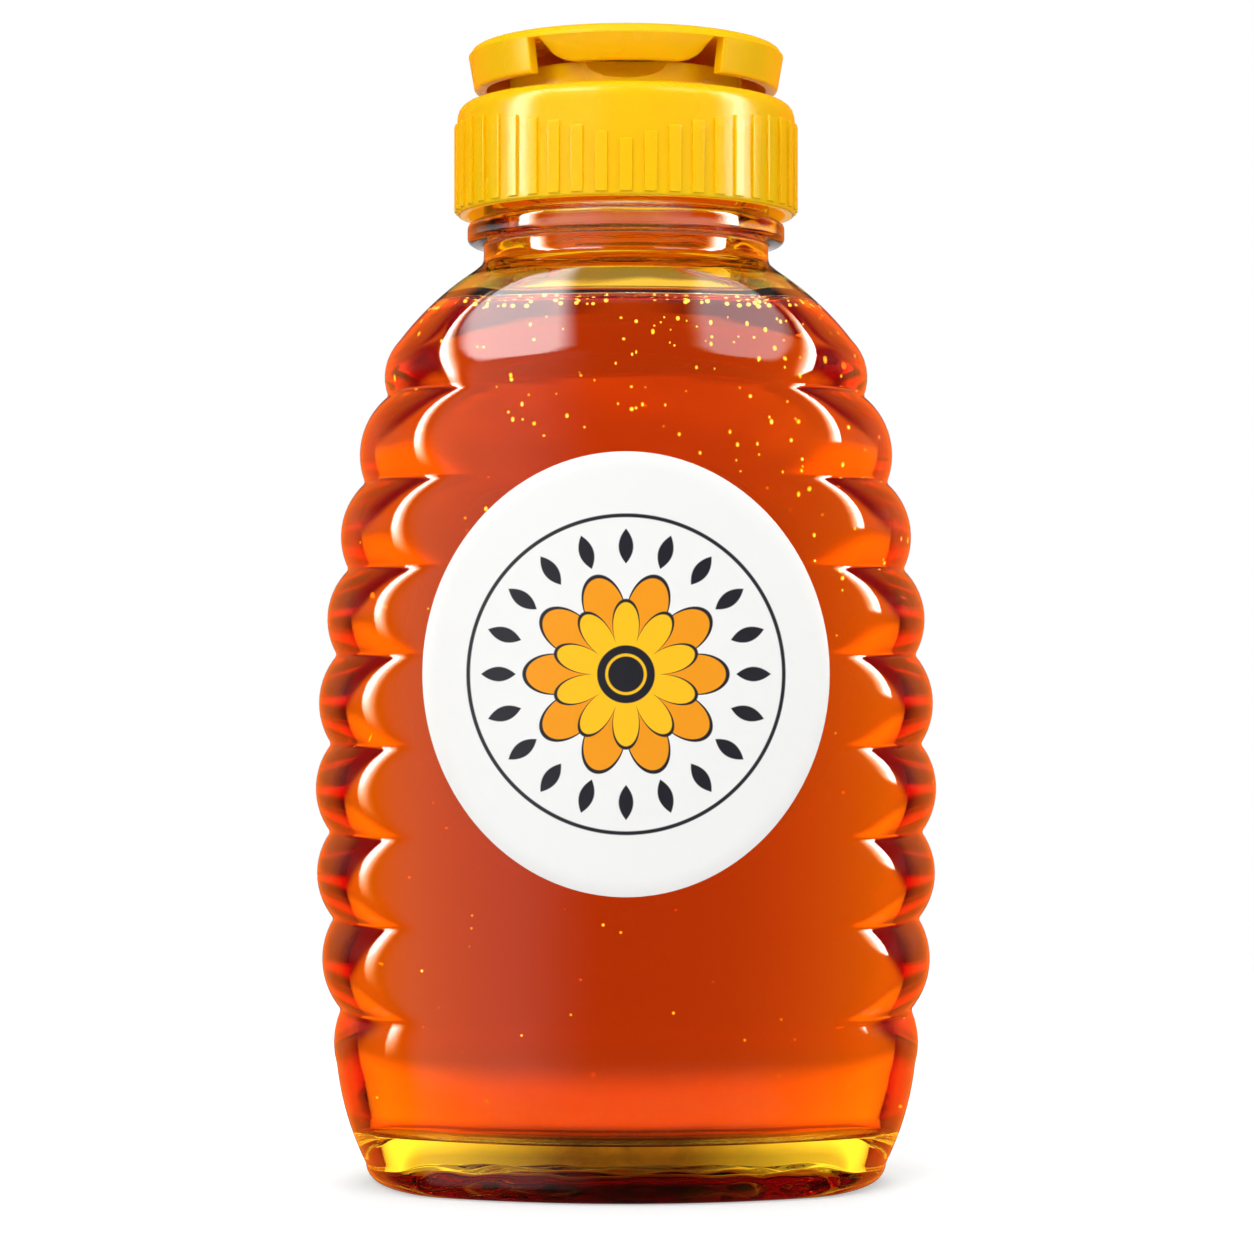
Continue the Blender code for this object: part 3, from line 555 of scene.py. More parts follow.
def clear_pet(name, tint, bump):
    mat, tree, shader = new_material(name, {
        "Roughness": 0.015, "IOR": PET_INDEX, "Transmission Weight": 1.0, "Specular Tint": linear(tint)})
    where = add(tree, "TexCoord").outputs["Object"]
    waves = add(tree, "TexNoise", {"Vector": where, "Scale": 1000 / WAVES_MM, "Detail": 1.0})
    clearness = add(tree, "MapRange", {"Value": waves, "To Min": 0.99, "To Max": 1.0})
    clear = add(tree, "Mix", {"Factor": clearness, "A": linear("F4F6F2"), "B": linear("FFFFFF")},
                data_type="RGBA")
    spot = add(tree, "SeparateXYZ", {"Vector": where})
    out = add(tree, "Math", {0: spot.outputs["X"]}, operation="ABSOLUTE")
    ends = add(tree, "MapRange", {"Value": out, "From Min": HEEL_MIDDLE, "From Max": HEEL_ENDS})
    patches = add(tree, "TexNoise", {"Vector": where, "Scale": 1000 / PATCHES_MM, "Detail": 3.0,
                                     "Distortion": 0.6})
    # painted light: the amber light in the heel, dark patches in the middle and bright at the ends
    painted_heel_patches = add(tree, "Mix", {"Factor": patches, "A": linear("301404"), "B": linear("B87010")},
                 data_type="RGBA")
    painted_heel_light = add(tree, "Mix", {"Factor": ends, "A": painted_heel_patches, "B": linear("FFC828")}, data_type="RGBA")
    low = add(tree, "MapRange", {"Value": spot.outputs["Z"], "From Min": HEEL_CLEAR_Z,
                                 "From Max": HEEL_AMBER_Z})
    shade = add(tree, "Mix", {"Factor": low, "A": clear, "B": painted_heel_light}, data_type="RGBA")
    relief = add(tree, "Bump", {"Height": waves, "Strength": bump, "Distance": WAVE_HEIGHT})
    feed(shader, {"Base Color": shade, "Normal": relief})
    return mat


pet = clear_pet("blown_pet", "FFFFFF", 0.25)
wetted_pet = clear_pet("blown_pet_wetted", "202020", 0.0)
print("bottle materials:", pet.name, "and", wetted_pet.name)

# %% [markdown]
# The bottle is one closed shell: underside, heel, ribbed wall, neck, rim, bore, inner wall and the thick
# clear floor. The thread on the neck is a helix, so it can't come off the lathe. The neck's rings are close
# together instead, and each of their vertices moves out by the height that the thread has there.

# %% The bottle
WALL = 0.8
FLOOR_Z, FLOOR_CORNER = 7.0, 3.0  # the floor inside, and the rounding round its edge
CORNER_TOP_Z = FLOOR_Z + 0.75 * FLOOR_CORNER  # the inner wall starts above this
INNER_TOP_Z = SHOULDER_HIGH[1] - 0.6  # and ends below this, at the foot of the bore
CONTACT, CONTACT_BAND = 29.2, 2.0  # half width of the band that the bottle stands on, and how wide it is
PUNT = [  # the underside's dent with its rings, inwards: radius, height and rounding
    (CONTACT - CONTACT_BAND, 0.0, 0.8), (25.2, 2.6, 2.0), (20.5, 3.2, 1.6), (17.5, 2.2, 1.6),
    (13.5, 3.4, 1.6), (8.5, 2.7, 1.6), (0.0, 3.5, 0.0)]
PUNT_STEP = 2.0  # mm between its rings of vertices, at most
LINING_SHARE, LINING_IN = 0.25, 0.4  # the floor inside has a quarter of the dent's height, a bit further in
PUNT_WAVES, PUNT_WAVE_HEIGHT = 0.22, 0.45  # waves per mm, and mm: the underside sets unevenly
PUNT_RIPPLES, PUNT_RIPPLE_DEPTH = 0.40, 0.014  # ripples per mm, and their depth as a share of the radius
NECK_R, NECK_FOOT_Z = 17.15, 110.2
NECK_BORE_R = 15.5
BEAD_R, BEAD_LOW_Z, BEAD_HIGH_Z = 19.15, 112.8, 115.5
RIM_Z = 127.4
THREAD_ROOT_R, THREAD_OD_R, THREAD_PITCH, THREAD_TURNS, THREAD_START_Z = 17.3, 18.65, 25.4 / 6, 1.25, 119.2
THREAD_ROOT_HALF, THREAD_CREST_HALF = 1.1, 0.45
THREAD_RUN_OUT = 0.08  # of a turn, over which each end dies away
THREAD_STEP = 0.25  # mm between the neck's rings
HONEY_Z, FILM_TOP_Z = 104.9, 126.2


def thread_height(turn, z):
    """How far the thread stands out of the neck at an angle and a height."""
    best = 0.0
    for lap in range(2):
        turns = (turn % math.tau) / math.tau + lap
        if turns <= THREAD_TURNS:
            off = abs(z - THREAD_START_Z - THREAD_PITCH * turns)
            flank = (THREAD_ROOT_HALF - off) / (THREAD_ROOT_HALF - THREAD_CREST_HALF)
            ends = min(1.0, turns / THREAD_RUN_OUT, (THREAD_TURNS - turns) / THREAD_RUN_OUT)
            best = max(best, ease(flank) * max(0.0, ends))
    return best * (THREAD_OD_R - THREAD_ROOT_R)


neck_low = THREAD_START_Z - THREAD_ROOT_HALF - 0.3
neck_high = THREAD_START_Z + THREAD_PITCH * THREAD_TURNS + THREAD_ROOT_HALF + 0.2
neck_steps = round((neck_high - neck_low) / THREAD_STEP)
BORE = [  # the neck's foot and the top of the shoulder, both seen from inside
    (NECK_BORE_R, NECK_FOOT_Z + 1.2, 1.0), (NECK_BORE_R + 1.6, SHOULDER_HIGH[1] - 0.35, 0)]
outside = wall_rings(wall_outline(), 0.0)
neck = moulded([(*SHOULDER_HIGH, 0), (NECK_R + 0.1, NECK_FOOT_Z + 0.2, 0.7), (NECK_R, BEAD_LOW_Z - 0.2, 0.4),
                (BEAD_R - 0.5, BEAD_LOW_Z, 0.15), (BEAD_R, BEAD_LOW_Z + 0.35, 0.4),
                (BEAD_R, BEAD_HIGH_Z - 0.5, 0.5), (BEAD_R - 0.7, BEAD_HIGH_Z, 0.3),
                (THREAD_ROOT_R, BEAD_HIGH_Z + 0.2, 0.5), (THREAD_ROOT_R, neck_low, 0)], closed=False)[1:]
neck_step = (neck_high - neck_low) / neck_steps
neck += [(THREAD_ROOT_R, neck_low + neck_step * i) for i in range(1, neck_steps + 1)]
neck += moulded([(THREAD_ROOT_R, neck_high, 0), (THREAD_ROOT_R, RIM_Z, 0.6), (NECK_BORE_R, RIM_Z, 0.4),
                 *BORE], closed=False)[1:]
inner = [p for p in inset_outline(wall_outline(), WALL) if CORNER_TOP_Z < p[1] < INNER_TOP_Z]
inside = wall_rings(inner, WALL)
heel = rounded_corner(outside[0], HEEL[0] - CONTACT, HEEL[1], 8)
corner = rounded_corner(inside[0], FLOOR_CORNER, inside[0].height - FLOOR_Z, 9)


def punt(outline, ring):
    """Rings of a dent in the floor, from its middle out to the ring that it starts from."""
    curve = moulded([(ring.half_width, ring.height, 0)] + outline, steps=4, closed=False)[1:]
    fine = []
    for (r0, z0), (r1, z1) in zip(curve, curve[1:]):
        parts = max(1, round(math.hypot(r1 - r0, z1 - z0) / PUNT_STEP))
        fine += [(r0 + (r1 - r0) * i / parts, z0 + (z1 - z0) * i / parts) for i in range(parts)]
    fine.append(curve[-1])
    return shrunk(ring, [(r / ring.half_width, z) for r, z in fine[::-1]])


def lining(height):
    """The floor's inner side: the dent's rings again, but flatter, over a thick clear floor."""
    return [(max(0.0, r - LINING_IN), height + LINING_SHARE * z, reach) for r, z, reach in PUNT]


under = punt(PUNT, heel[0])
within = punt(lining(FLOOR_Z), corner[0]) + corner + inside
rings = under + heel + outside + round_rings(neck) + within[::-1]
bm = rolled_body(rings)
layer = bm.verts.layers.int["ring"]
for vert in bm.verts:
    radius = math.hypot(vert.co.x, vert.co.y)
    if vert[layer] < len(under):
        vert.co.z += PUNT_WAVE_HEIGHT * noise.noise(vert.co * PUNT_WAVES) * ease(vert.co.z / 2)
        ripple = PUNT_RIPPLE_DEPTH * noise.noise(vert.co * PUNT_RIPPLES) * ease(vert.co.z)
        vert.co.xy = vert.co.xy * (1 + ripple)
    if neck_low < vert.co.z < neck_high and radius > THREAD_ROOT_R - 0.1:
        out = 1 + thread_height(math.atan2(vert.co.y, vert.co.x), vert.co.z) / radius
        vert.co.xy = vert.co.xy * out
wet_from = len(rings) - len(within)
for face in bm.faces:
    middle = face.calc_center_median()
    in_bore = middle.z > NECK_FOOT_Z and math.hypot(middle.x, middle.y) < NECK_BORE_R + 0.05
    wet = (in_bore or all(vert[layer] >= wet_from for vert in face.verts)) and middle.z < FILM_TOP_Z
    face.material_index = int(wet)
bottle = finish(bm, "squeeze_bottle", [pet, wetted_pet], "bottle", sharp=60.0)
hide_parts("bottle")

# %% [markdown]
# Honey is a clear, dark amber syrup of index 1.49. Here it is 1.53, close to the wall's, so that the border
# between them bends light as little as the real one does. Its colour is not on its surface: it swallows blue
# at once, green over a few centimetres and red hardly at all. So a thin layer is yellow, a rib is orange and
# the middle of the bottle is a deep red. One volume absorption gives all of them. A closed body of it has
# one material, because a ray that goes in through one material and out through another is never let out
# again. So the tint of its reflection, dark at the wall and plain on top, goes by height.

# %% Honey
HONEY_INDEX = 1.53
WET = 0.1  # mm that the honey reaches into the wall
ABSORB_RED, ABSORB_GREEN, ABSORB_BLUE = 9.5, 70.0, 410.0  # per metre
DENSITY = 450.0
MENISCUS_DROP, MENISCUS_REACH = 0.9, 1.6  # how far the honey's middle lies below its brim, in mm
SURFACE_LUMPS, SURFACE_LUMP_HEIGHT = 0.35, 0.12  # lumps per mm on the honey's surface, and mm
SLACK_MM = 3.85  # width of the finer ones, which a bump gives


def honey_material(name, darker=1.0):
    mat, tree, shader = new_material(name, {
        "Base Color": linear("FFFFFF"), "Roughness": 0.0, "IOR": HONEY_INDEX, "Transmission Weight": 1.0})
    colour = tuple(1 - a / DENSITY for a in (ABSORB_RED, ABSORB_GREEN, ABSORB_BLUE)) + (1.0,)
    inside = add(tree, "VolumeAbsorption", {"Color": colour, "Density": DENSITY * darker})
    feed(tree.nodes["Material Output"], {"Volume": inside})
    return mat, tree, shader


honey_fluid, tree, shader = honey_material("honey")
where = add(tree, "TexCoord").outputs["Object"]
height = add(tree, "SeparateXYZ", {"Vector": where}).outputs["Z"]
surface_z = (HONEY_Z - MENISCUS_DROP - 0.2) * MM
on_top = shaped(tree, [(height, surface_z - 0.1 * MM, surface_z, 0.0, 1.0)])
gleam = add(tree, "Mix", {"Factor": on_top, "A": linear("202020"), "B": linear("FFFFFF")}, data_type="RGBA")
slack = add(tree, "TexNoise", {"Vector": where, "Scale": 1000 / SLACK_MM, "Detail": 2.0})
strength = add(tree, "Math", {0: on_top, 1: 0.3}, operation="MULTIPLY")
relief = add(tree, "Bump", {"Height": slack, "Strength": strength, "Distance": 0.0006})
feed(shader, {"Specular Tint": gleam, "Normal": relief})

inset = WALL - WET
outline = [p for p in inset_outline(wall_outline(), inset) if CORNER_TOP_Z < p[1] + WET]
low = max((p for p in outline if p[1] < HONEY_Z), key=lambda p: p[1])
high = min((p for p in outline if p[1] > HONEY_Z + 0.2), key=lambda p: p[1])
brim = low[0] + (high[0] - low[0]) * (HONEY_Z - low[1]) / (high[1] - low[1])
wall = wall_rings([p for p in outline if p[1] <= low[1]] + [(brim, HONEY_Z, 0.0)], inset)
bottom = FLOOR_Z - WET
corner = rounded_corner(wall[0], FLOOR_CORNER, wall[0].height - bottom, 9)
floor_rings = punt(lining(bottom), corner[0])
meniscus = [(1 - MENISCUS_REACH * (1 - math.cos(turn)) / brim, HONEY_Z - MENISCUS_DROP * math.sin(turn))
            for turn in [math.pi / 2 * i / 10 for i in range(1, 11)]]
middle = [(share, HONEY_Z - MENISCUS_DROP) for share in (0.8, 0.7, 0.55, 0.4, 0.2, 0.0)]
top = shrunk(wall[-1], meniscus + middle)
rings = floor_rings + corner + wall + top
bm = rolled_body(rings)
layer = bm.verts.layers.int["ring"]
for vert in bm.verts:
    if vert[layer] >= len(rings) - len(top):
        vert.co.z += SURFACE_LUMP_HEIGHT * noise.noise(vert.co * SURFACE_LUMPS)
honey = finish(bm, "honey_fill", [honey_fluid], "bottle", sharp=60.0)
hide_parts("honey")

# %% [markdown]
# Above the fill, honey clings to the shoulder and the neck's bore in a film that is nowhere even, because
# the bottle was turned over before. Its honey absorbs eight times as strongly as the fill, which turns the
# neck a deep red. The film is a closed body of its own: its outer side reaches a little into the wall, and
# its inner side stands off by a thickness that noise gives it.

# %% The clinging film
FILM_LOW, FILM_HIGH = 0.42, 0.85  # mm on the shoulder and in the neck
FILM_DARKER = 8.0  # times the honey's colour
FILM_LUMPS, LUMP_LOW, LUMP_HIGH = 0.11, 0.16, 0.75  # lumps per mm, and by what share they change the film
FILM_LEAST, FILM_EDGE = 0.2, 0.1  # the thinnest share between lumps, and at the top edge
FILM_CHANGE = 3.0  # mm above the neck's foot over which it turns from the one thickness to the other
EDGE_RINGS = 5  # rings over which it thins out at its top
BORE_STEPS = 36
film_fluid = honey_material("clinging_honey", FILM_DARKER)[0]

shoulder = [p for p in inset_outline(wall_outline(), inset) if HONEY_Z - 0.3 < p[1] < INNER_TOP_Z]
wetted = [(r + 1.2 * WET, z, reach) for r, z, reach in BORE[::-1]]
bore_r = NECK_BORE_R + WET
bore = moulded([(*shoulder[-1][:2], 0)] + wetted + [(bore_r, FILM_TOP_Z, 0)], closed=False)[1:-1]
bore_z = bore[-1][1]
bore += [(bore_r, bore_z + (FILM_TOP_Z - bore_z) * i / BORE_STEPS) for i in range(1, BORE_STEPS + 1)]
outer = wall_rings(shoulder, inset) + round_rings(bore)
rings = outer + outer[::-1] + outer[:1]
bm = rolled_body(rings)
layer = bm.verts.layers.int["ring"]
for vert in bm.verts:
    back = 2 * len(outer) - 1 - vert[layer]
    if 0 <= back < len(outer) and vert[layer] >= len(outer):
        high_up = ease((vert.co.z - NECK_FOOT_Z) / FILM_CHANGE)
        lump = LUMP_LOW + (LUMP_HIGH - LUMP_LOW) * high_up
        lump *= noise.fractal(vert.co * FILM_LUMPS, 0.6, 2.0, 2)
        thick = (FILM_LOW + (FILM_HIGH - FILM_LOW) * high_up) * max(FILM_LEAST, 1 + lump)
        thick *= min(1.0, FILM_EDGE + (len(outer) - 1 - back) / EDGE_RINGS)
        radius = math.hypot(vert.co.x, vert.co.y)
        vert.co.xy = vert.co.xy * (1 - (WET + thick) / radius)
finish(bm, "clinging_honey", [film_fluid], "bottle", sharp=70.0)

# %% [markdown]
# Honey is poured warm and keeps the air that it takes in. Small bubbles hang in it, most of them high up,
# and a ring of them gathers where its surface meets the wall. Light inside honey that strikes a bubble at
# a slant can't get out into the air of the bubble, so each one is a tiny mirror. The gold of the honey that
# it reflects is painted into its colour, a painted reflection, and because a renderer finds little of the
# light that such a mirror gathers, they also glow a little, a painted glow. They are spheres of 80 faces,
# placed by a seeded random draw.

# %% Bubbles
# painted reflection and glow: the gold colour and the emission stand for the honey's light in each bubble
air, tree, shader = new_material("trapped_air", {
    "Metallic": 1.0, "Roughness": 0.12, "Emission Color": linear("FFC850"), "Emission Strength": 1.6})
where = add(tree, "TexCoord").outputs["Object"]
mottled(tree, shader, where, 0.45, "FFD060", "FFF6D0")

HIGH_BUBBLES, DEEP_BUBBLES, BRIM_BUBBLES = 150, 110, 130
HIGH_FROM, HIGH_REACH = 3.0, 32.0  # mm below the surface where the high ones start, and how deep they go
HIGH_TURN, HIGH_SPREAD = 0.35 - math.pi / 2, 0.7  # radians: their bearing, a little right of the front
DEEP_LOW_Z, DEEP_FROM = 9.0, 6.0  # the deep ones start at this height, and end this far below the surface
rng = random.Random(7)

one = bmesh.new()
bmesh.ops.create_icosphere(one, subdivisions=2, radius=1.0)
sphere = bpy.data.meshes.new("bubble")
one.to_mesh(sphere)
one.free()


def place_bubble(bm, z, turn, share, radius, stretch):
    """A sphere in the honey, a share of the way out from the axis to the wall at its height."""
    level = min(wall, key=lambda ring: abs(ring.height - z))
    spot = section_point(level._replace(share=share, height=z), turn)
    placed = sphere.copy()
    placed.transform(Matrix.LocRotScale(spot, None, (radius, radius, radius * stretch)))
    bm.from_mesh(placed)
    bpy.data.meshes.remove(placed)


bm = bmesh.new()
for i in range(HIGH_BUBBLES):
    z = HONEY_Z - HIGH_FROM - HIGH_REACH * rng.random() ** 1.5
    turn = rng.gauss(HIGH_TURN, HIGH_SPREAD)
    place_bubble(bm, z, turn, rng.uniform(0.80, 0.95), rng.uniform(0.08, 0.24), rng.uniform(0.9, 1.6))
for i in range(DEEP_BUBBLES):
    z = rng.uniform(DEEP_LOW_Z, HONEY_Z - DEEP_FROM)
    turn = rng.uniform(-math.pi, math.pi)
    place_bubble(bm, z, turn, rng.uniform(0.5, 0.95), rng.uniform(0.07, 0.18), 1.0)
for i in range(BRIM_BUBBLES):
    turn = rng.uniform(-math.pi, math.pi)
    z = HONEY_Z - rng.uniform(0.5, 1.6)
    place_bubble(bm, z, turn, rng.uniform(0.90, 0.955), rng.uniform(0.12, 0.32), 0.9)
finish(bm, "air_bubbles", [air], "bottle")

# %% [markdown]
# The sticker is a thin oval of white polypropylene film with rounded edges, laid on the curve of the front
# panel. What is printed on it here is a plain rosette in yellow and charcoal: petals, leaves and a ring that
# repeat round one middle. Such a print is simplest in polar coordinates, where a petal is a wave of the
# angle: the node tree measures radius and angle in millimetres and radians, and each motif is a comparison
# of a value with a limit.

# %% Sticker material
LABEL_HALF_W, LABEL_HALF_H, LABEL_Z = 23.5, 25.4, 61.2
INK, PETAL_YELLOW, PETAL_ORANGE, FILM = linear("23232B"), linear("FFC207"), linear("F59A00"), linear("F1F1F0")
EDGE = 0.06  # mm over which one ink turns into the next
PETALS, PETAL_POINT = 10, 0.6  # how many petals a ring has, and how blunt they are: less is blunter
OUTER_PETALS, INNER_PETALS = (6.4, 5.0), (3.6, 4.6)  # mm from the middle to the notches, and on to the tips
HEART_R, HEART_RING_R, BORDER_R, LEAF_R = 3.3, 2.2, 18.1, 14.6
LEAVES, LEAF_HALF_LENGTH, LEAF_HALF_WIDTH = 20, 2.0, 0.837

film, tree, shader = new_material("white_printed_film", {
    "Base Color": FILM, "Roughness": 0.38, "IOR": 1.5, "Coat Weight": 0.15, "Coat Roughness": 0.2})
where = add(tree, "TexCoord").outputs["Object"]
flat = add(tree, "Mapping", {"Vector": where, "Location": (0.0, 0.0, -LABEL_Z),
                             "Scale": (1000.0, 1000.0, 1000.0)})
face_on = add(tree, "VectorMath", {0: flat, 1: (1.0, 0.0, 1.0)}, operation="MULTIPLY")
radius = add(tree, "VectorMath", {0: face_on}, operation="LENGTH")
axes = add(tree, "SeparateXYZ", {"Vector": flat}).outputs
angle = add(tree, "Math", {0: axes["X"], 1: axes["Z"]}, operation="ARCTAN2")


def wave(count, shift=0.0):
    """A wave with that many crests in a full turn, between 0 and 1."""
    phase = add(tree, "Math", {0: angle, 1: count / 2, 2: shift}, operation="MULTIPLY_ADD")
    swing = add(tree, "Math", {0: phase}, operation="COSINE")
    return add(tree, "Math", {0: swing}, operation="ABSOLUTE")


petals = []
for (notch, length), shift in ((OUTER_PETALS, math.pi / 2), (INNER_PETALS, 0.0)):
    crest = add(tree, "Math", {0: wave(PETALS, shift), 1: PETAL_POINT}, operation="POWER")
    petals.append(add(tree, "Math", {0: crest, 1: length, 2: notch}, operation="MULTIPLY_ADD"))
circles = []
for ring_r in (HEART_RING_R, BORDER_R):
    off = add(tree, "Math", {0: radius, 1: ring_r}, operation="SUBTRACT")
    circles.append(add(tree, "Math", {0: off}, operation="ABSOLUTE"))
along = add(tree, "Math", {0: radius, 1: LEAF_R}, operation="SUBTRACT")
along = add(tree, "Math", {0: along, 1: LEAF_HALF_LENGTH}, operation="DIVIDE")
along = add(tree, "Math", {0: along, 1: 2.0}, operation="POWER")
leaf_edge = add(tree, "Math", {0: along, 1: -LEAF_HALF_WIDTH, 2: LEAF_HALF_WIDTH}, operation="MULTIPLY_ADD")
lean = add(tree, "Math", {0: wave(LEAVES, math.pi / 2)}, operation="ARCSINE")
arm = add(tree, "Math", {0: radius, 1: 2 / LEAVES}, operation="MULTIPLY")
leaf_off = add(tree, "Math", {0: lean, 1: arm}, operation="MULTIPLY")

# each motif, from the lowest ink to the top one: a value, the limit under which it is inked, how far the
# ink runs past that limit, in mm, and the ink
MOTIFS = [
    (radius, petals[0], 0.45, INK), (radius, petals[0], 0.0, PETAL_ORANGE),
    (radius, petals[1], 0.40, INK), (radius, petals[1], 0.0, PETAL_YELLOW),
    (radius, HEART_R, 0.0, INK), (circles[0], 0.16, 0.0, PETAL_YELLOW),
    (leaf_off, leaf_edge, 0.0, INK), (circles[1], 0.22, 0.0, INK),
]
colour = FILM
for value, limit, past, ink in MOTIFS:
    over = add(tree, "Math", {0: value, 1: limit}, operation="SUBTRACT")
    mask = add(tree, "MapRange", {"Value": over, "From Min": past - EDGE, "From Max": past + EDGE,
                                  "To Min": 1.0, "To Max": 0.0})
    colour = add(tree, "Mix", {"Factor": mask, "A": colour, "B": ink}, data_type="RGBA")
fibre = add(tree, "TexNoise", {"Vector": where, "Scale": 2500.0, "Detail": 2.0})
relief = add(tree, "Bump", {"Height": fibre, "Strength": 0.08, "Distance": 0.0001})
feed(shader, {"Base Color": colour, "Normal": relief})
print("sticker motifs:", len(MOTIFS))

# %% The sticker
LABEL_THICK, LABEL_GAP = 0.14, 0.02
LABEL_RINGS, LABEL_SEGMENTS = 14, 144
flat_radii = [i / LABEL_RINGS for i in range(LABEL_RINGS)]
rim = LABEL_THICK / 2 / LABEL_HALF_W
outline = [(r, 0.0) for r in flat_radii] + [(1.0 - rim, 0.0), (1.0, LABEL_THICK * 0.3)]
outline += [(1.0, LABEL_THICK * 0.7), (1.0 - rim, LABEL_THICK)] + [(r, LABEL_THICK) for r in flat_radii[::-1]]
bm = lathe(outline, LABEL_SEGMENTS, closed=False)
for vert in bm.verts:
    x, z = vert.co.x * LABEL_HALF_W, LABEL_Z + vert.co.y * LABEL_HALF_H
    out = panel_depth(arched(x, z)) - x * x / (2 * PANEL_RADIUS) + vert.co.z + LABEL_GAP
    vert.co = (x, -out, z)
sticker = finish(bm, "round_sticker", [film], "bottle", sharp=50.0)
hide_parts("front_label")

# %% [markdown]
# Cap and lid are injection moulded polypropylene, a waxy, slightly translucent plastic in a full yellow.
# Some of its light sinks in and comes out deeper in colour nearby, which is what subsurface scattering
# does. The mould was polished, so the gloss is soft but clean, with a very fine orange peel. The skirt is
# thin enough for light to come through it, and that light is painted in: the inside of the cap has a
# painted glow, so that it is never dark.

# %% Yellow polypropylene
PEEL_MM, CLOUD_MM = 0.35, 14.3  # grain of the moulded surface, and width of its slow changes in colour
# painted glow of the cap's inside: an emission that stands for the light that comes through the skirt
INSIDE_PAINTED_GLOW = 0.5


def polypropylene(name, glow):
    mat, tree, shader = new_material(name, {
        "IOR": 1.49, "Subsurface Weight": 0.5, "Subsurface Scale": 0.0022,
        "Subsurface Radius": (1.0, 0.45, 0.06), "Emission Color": linear("FFA010"),
        "Emission Strength": glow})
    where = add(tree, "TexCoord").outputs["Object"]
    cloud = mottled(tree, shader, where, CLOUD_MM, "FFC000", "FFCB06", detail=3.0)
    gloss = add(tree, "MapRange", {"Value": cloud, "To Min": 0.23, "To Max": 0.31})
    peel = add(tree, "TexNoise", {"Vector": where, "Scale": 1000 / PEEL_MM, "Detail": 1.0})
    relief = add(tree, "Bump", {"Height": peel, "Strength": 0.05, "Distance": 0.00005})
    feed(shader, {"Roughness": gloss, "Normal": relief})
    return mat


yellow = polypropylene("moulded_yellow_polypropylene", 0.0)
lit_through = polypropylene("yellow_polypropylene_painted_glow", INSIDE_PAINTED_GLOW)
print("cap materials:", yellow.name, "and", lit_through.name)

# %% [markdown]
# The cap is a turned shell with things added to it and taken from it. A Boolean does both: it joins the
# grip bars and the hinge block to the shell, and cuts the scoop for a thumb out of the collar.

# %% Joining and cutting
def boolean(obj, bm, operation):
    """Adds a second mesh to an object, or takes it away, and leaves one closed mesh."""
    other = finish(bm, "tool", [], None)
    mod = obj.modifiers.new(operation.lower(), "BOOLEAN")
    mod.operation = operation
    mod.solver = "EXACT"
    mod.object = other
    evaluated = obj.evaluated_get(bpy.context.evaluated_depsgraph_get())
    mesh = bpy.data.meshes.new_from_object(evaluated)
    obj.modifiers.remove(mod)
    obj.data = mesh
    bpy.data.objects.remove(other, do_unlink=True)


def shade(obj, angle):
    """Smooth shading that keeps edges sharper than an angle, with normals weighted to the larger faces."""
    obj.data.shade_smooth()
    obj.data.set_sharp_from_angle(angle=math.radians(angle))
    weighted = obj.modifiers.new("weighted_normals", "WEIGHTED_NORMAL")
    weighted.keep_sharp = True
    print(obj.name, "has", sum(len(face.vertices) - 2 for face in obj.data.polygons), "triangles")


def add_box(bm, size, middle):
    verts = bmesh.ops.create_cube(bm, size=1.0)["verts"]
    bmesh.ops.scale(bm, verts=verts, vec=size)
    bmesh.ops.translate(bm, verts=verts, vec=middle)
    return verts


def block(size, middle, bevel):
    bm = bmesh.new()
    add_box(bm, size, middle)
    bmesh.ops.bevel(bm, geom=bm.edges[:], offset=bevel, affect="EDGES", segments=2, profile=0.5, material=-1)
    return bm


def front_arc(outline, half_angle, steps):
    """A closed outline swung round the Z axis, the same way to both sides of the front."""
    bm = bmesh.new()
    face = bm.faces.new([bm.verts.new((0.0, -r, z)) for r, z in outline])
    bmesh.ops.rotate(bm, verts=bm.verts, cent=(0, 0, 0), matrix=Matrix.Rotation(-half_angle, 3, "Z"))
    bmesh.ops.spin(bm, geom=[face], cent=(0, 0, 0), axis=(0, 0, 1), angle=2 * half_angle, steps=steps)
    return bm


# %% The screw cap
SKIRT_R, SKIRT_LOW_Z, SKIRT_TOP_Z, SKIRT_SHOULDER, SKIRT_BORE_R = 20.4, 116.3, 129.7, 2.2, 19.15
DECK_UNDER_Z = 127.8
RIBS, RIB_PROUD, RIB_ROOT, RIB_WIDTH, RIB_BEVEL = 45, 0.35, 0.6, 1.45, 0.13
RIB_LOW_Z, RIB_HIGH_Z, RIB_DIP = 116.7, 127.0, 4.2  # the dip is how much shorter the ribs are at the front
COLLAR_R, COLLAR_TOP_Z = 14.0, 132.9
SPOUT_R, SPOUT_BORE_R, SPOUT_TOP_Z = 6.6, 5.2, 133.9
POCKET_R, POCKET_TOP_Z = 10.6, 131.4
SCOOP_SIZE, SCOOP_OUT, SCOOP_UP = (6.6, 2.2, 2.4), 0.6, 0.2
PLUG_R, PLUG_WALL, PLUG_LOW_Z = 15.1, 0.9, 125.4
HINGE_Y, HINGE_Z, HINGE_WIDTH = 20.3, 130.45, 10.0
BOSS_Y, BOSS_WIDTH, BOSS_BEVEL = 20.1, HINGE_WIDTH + 1.0, 0.25  # the blocks that the hinge is rooted in
CAP_BOSS_IN_Y, CAP_BOSS_HEIGHT, CAP_BOSS_Z = 17.0, 2.5, 128.55
CAP_SEGMENTS = 180

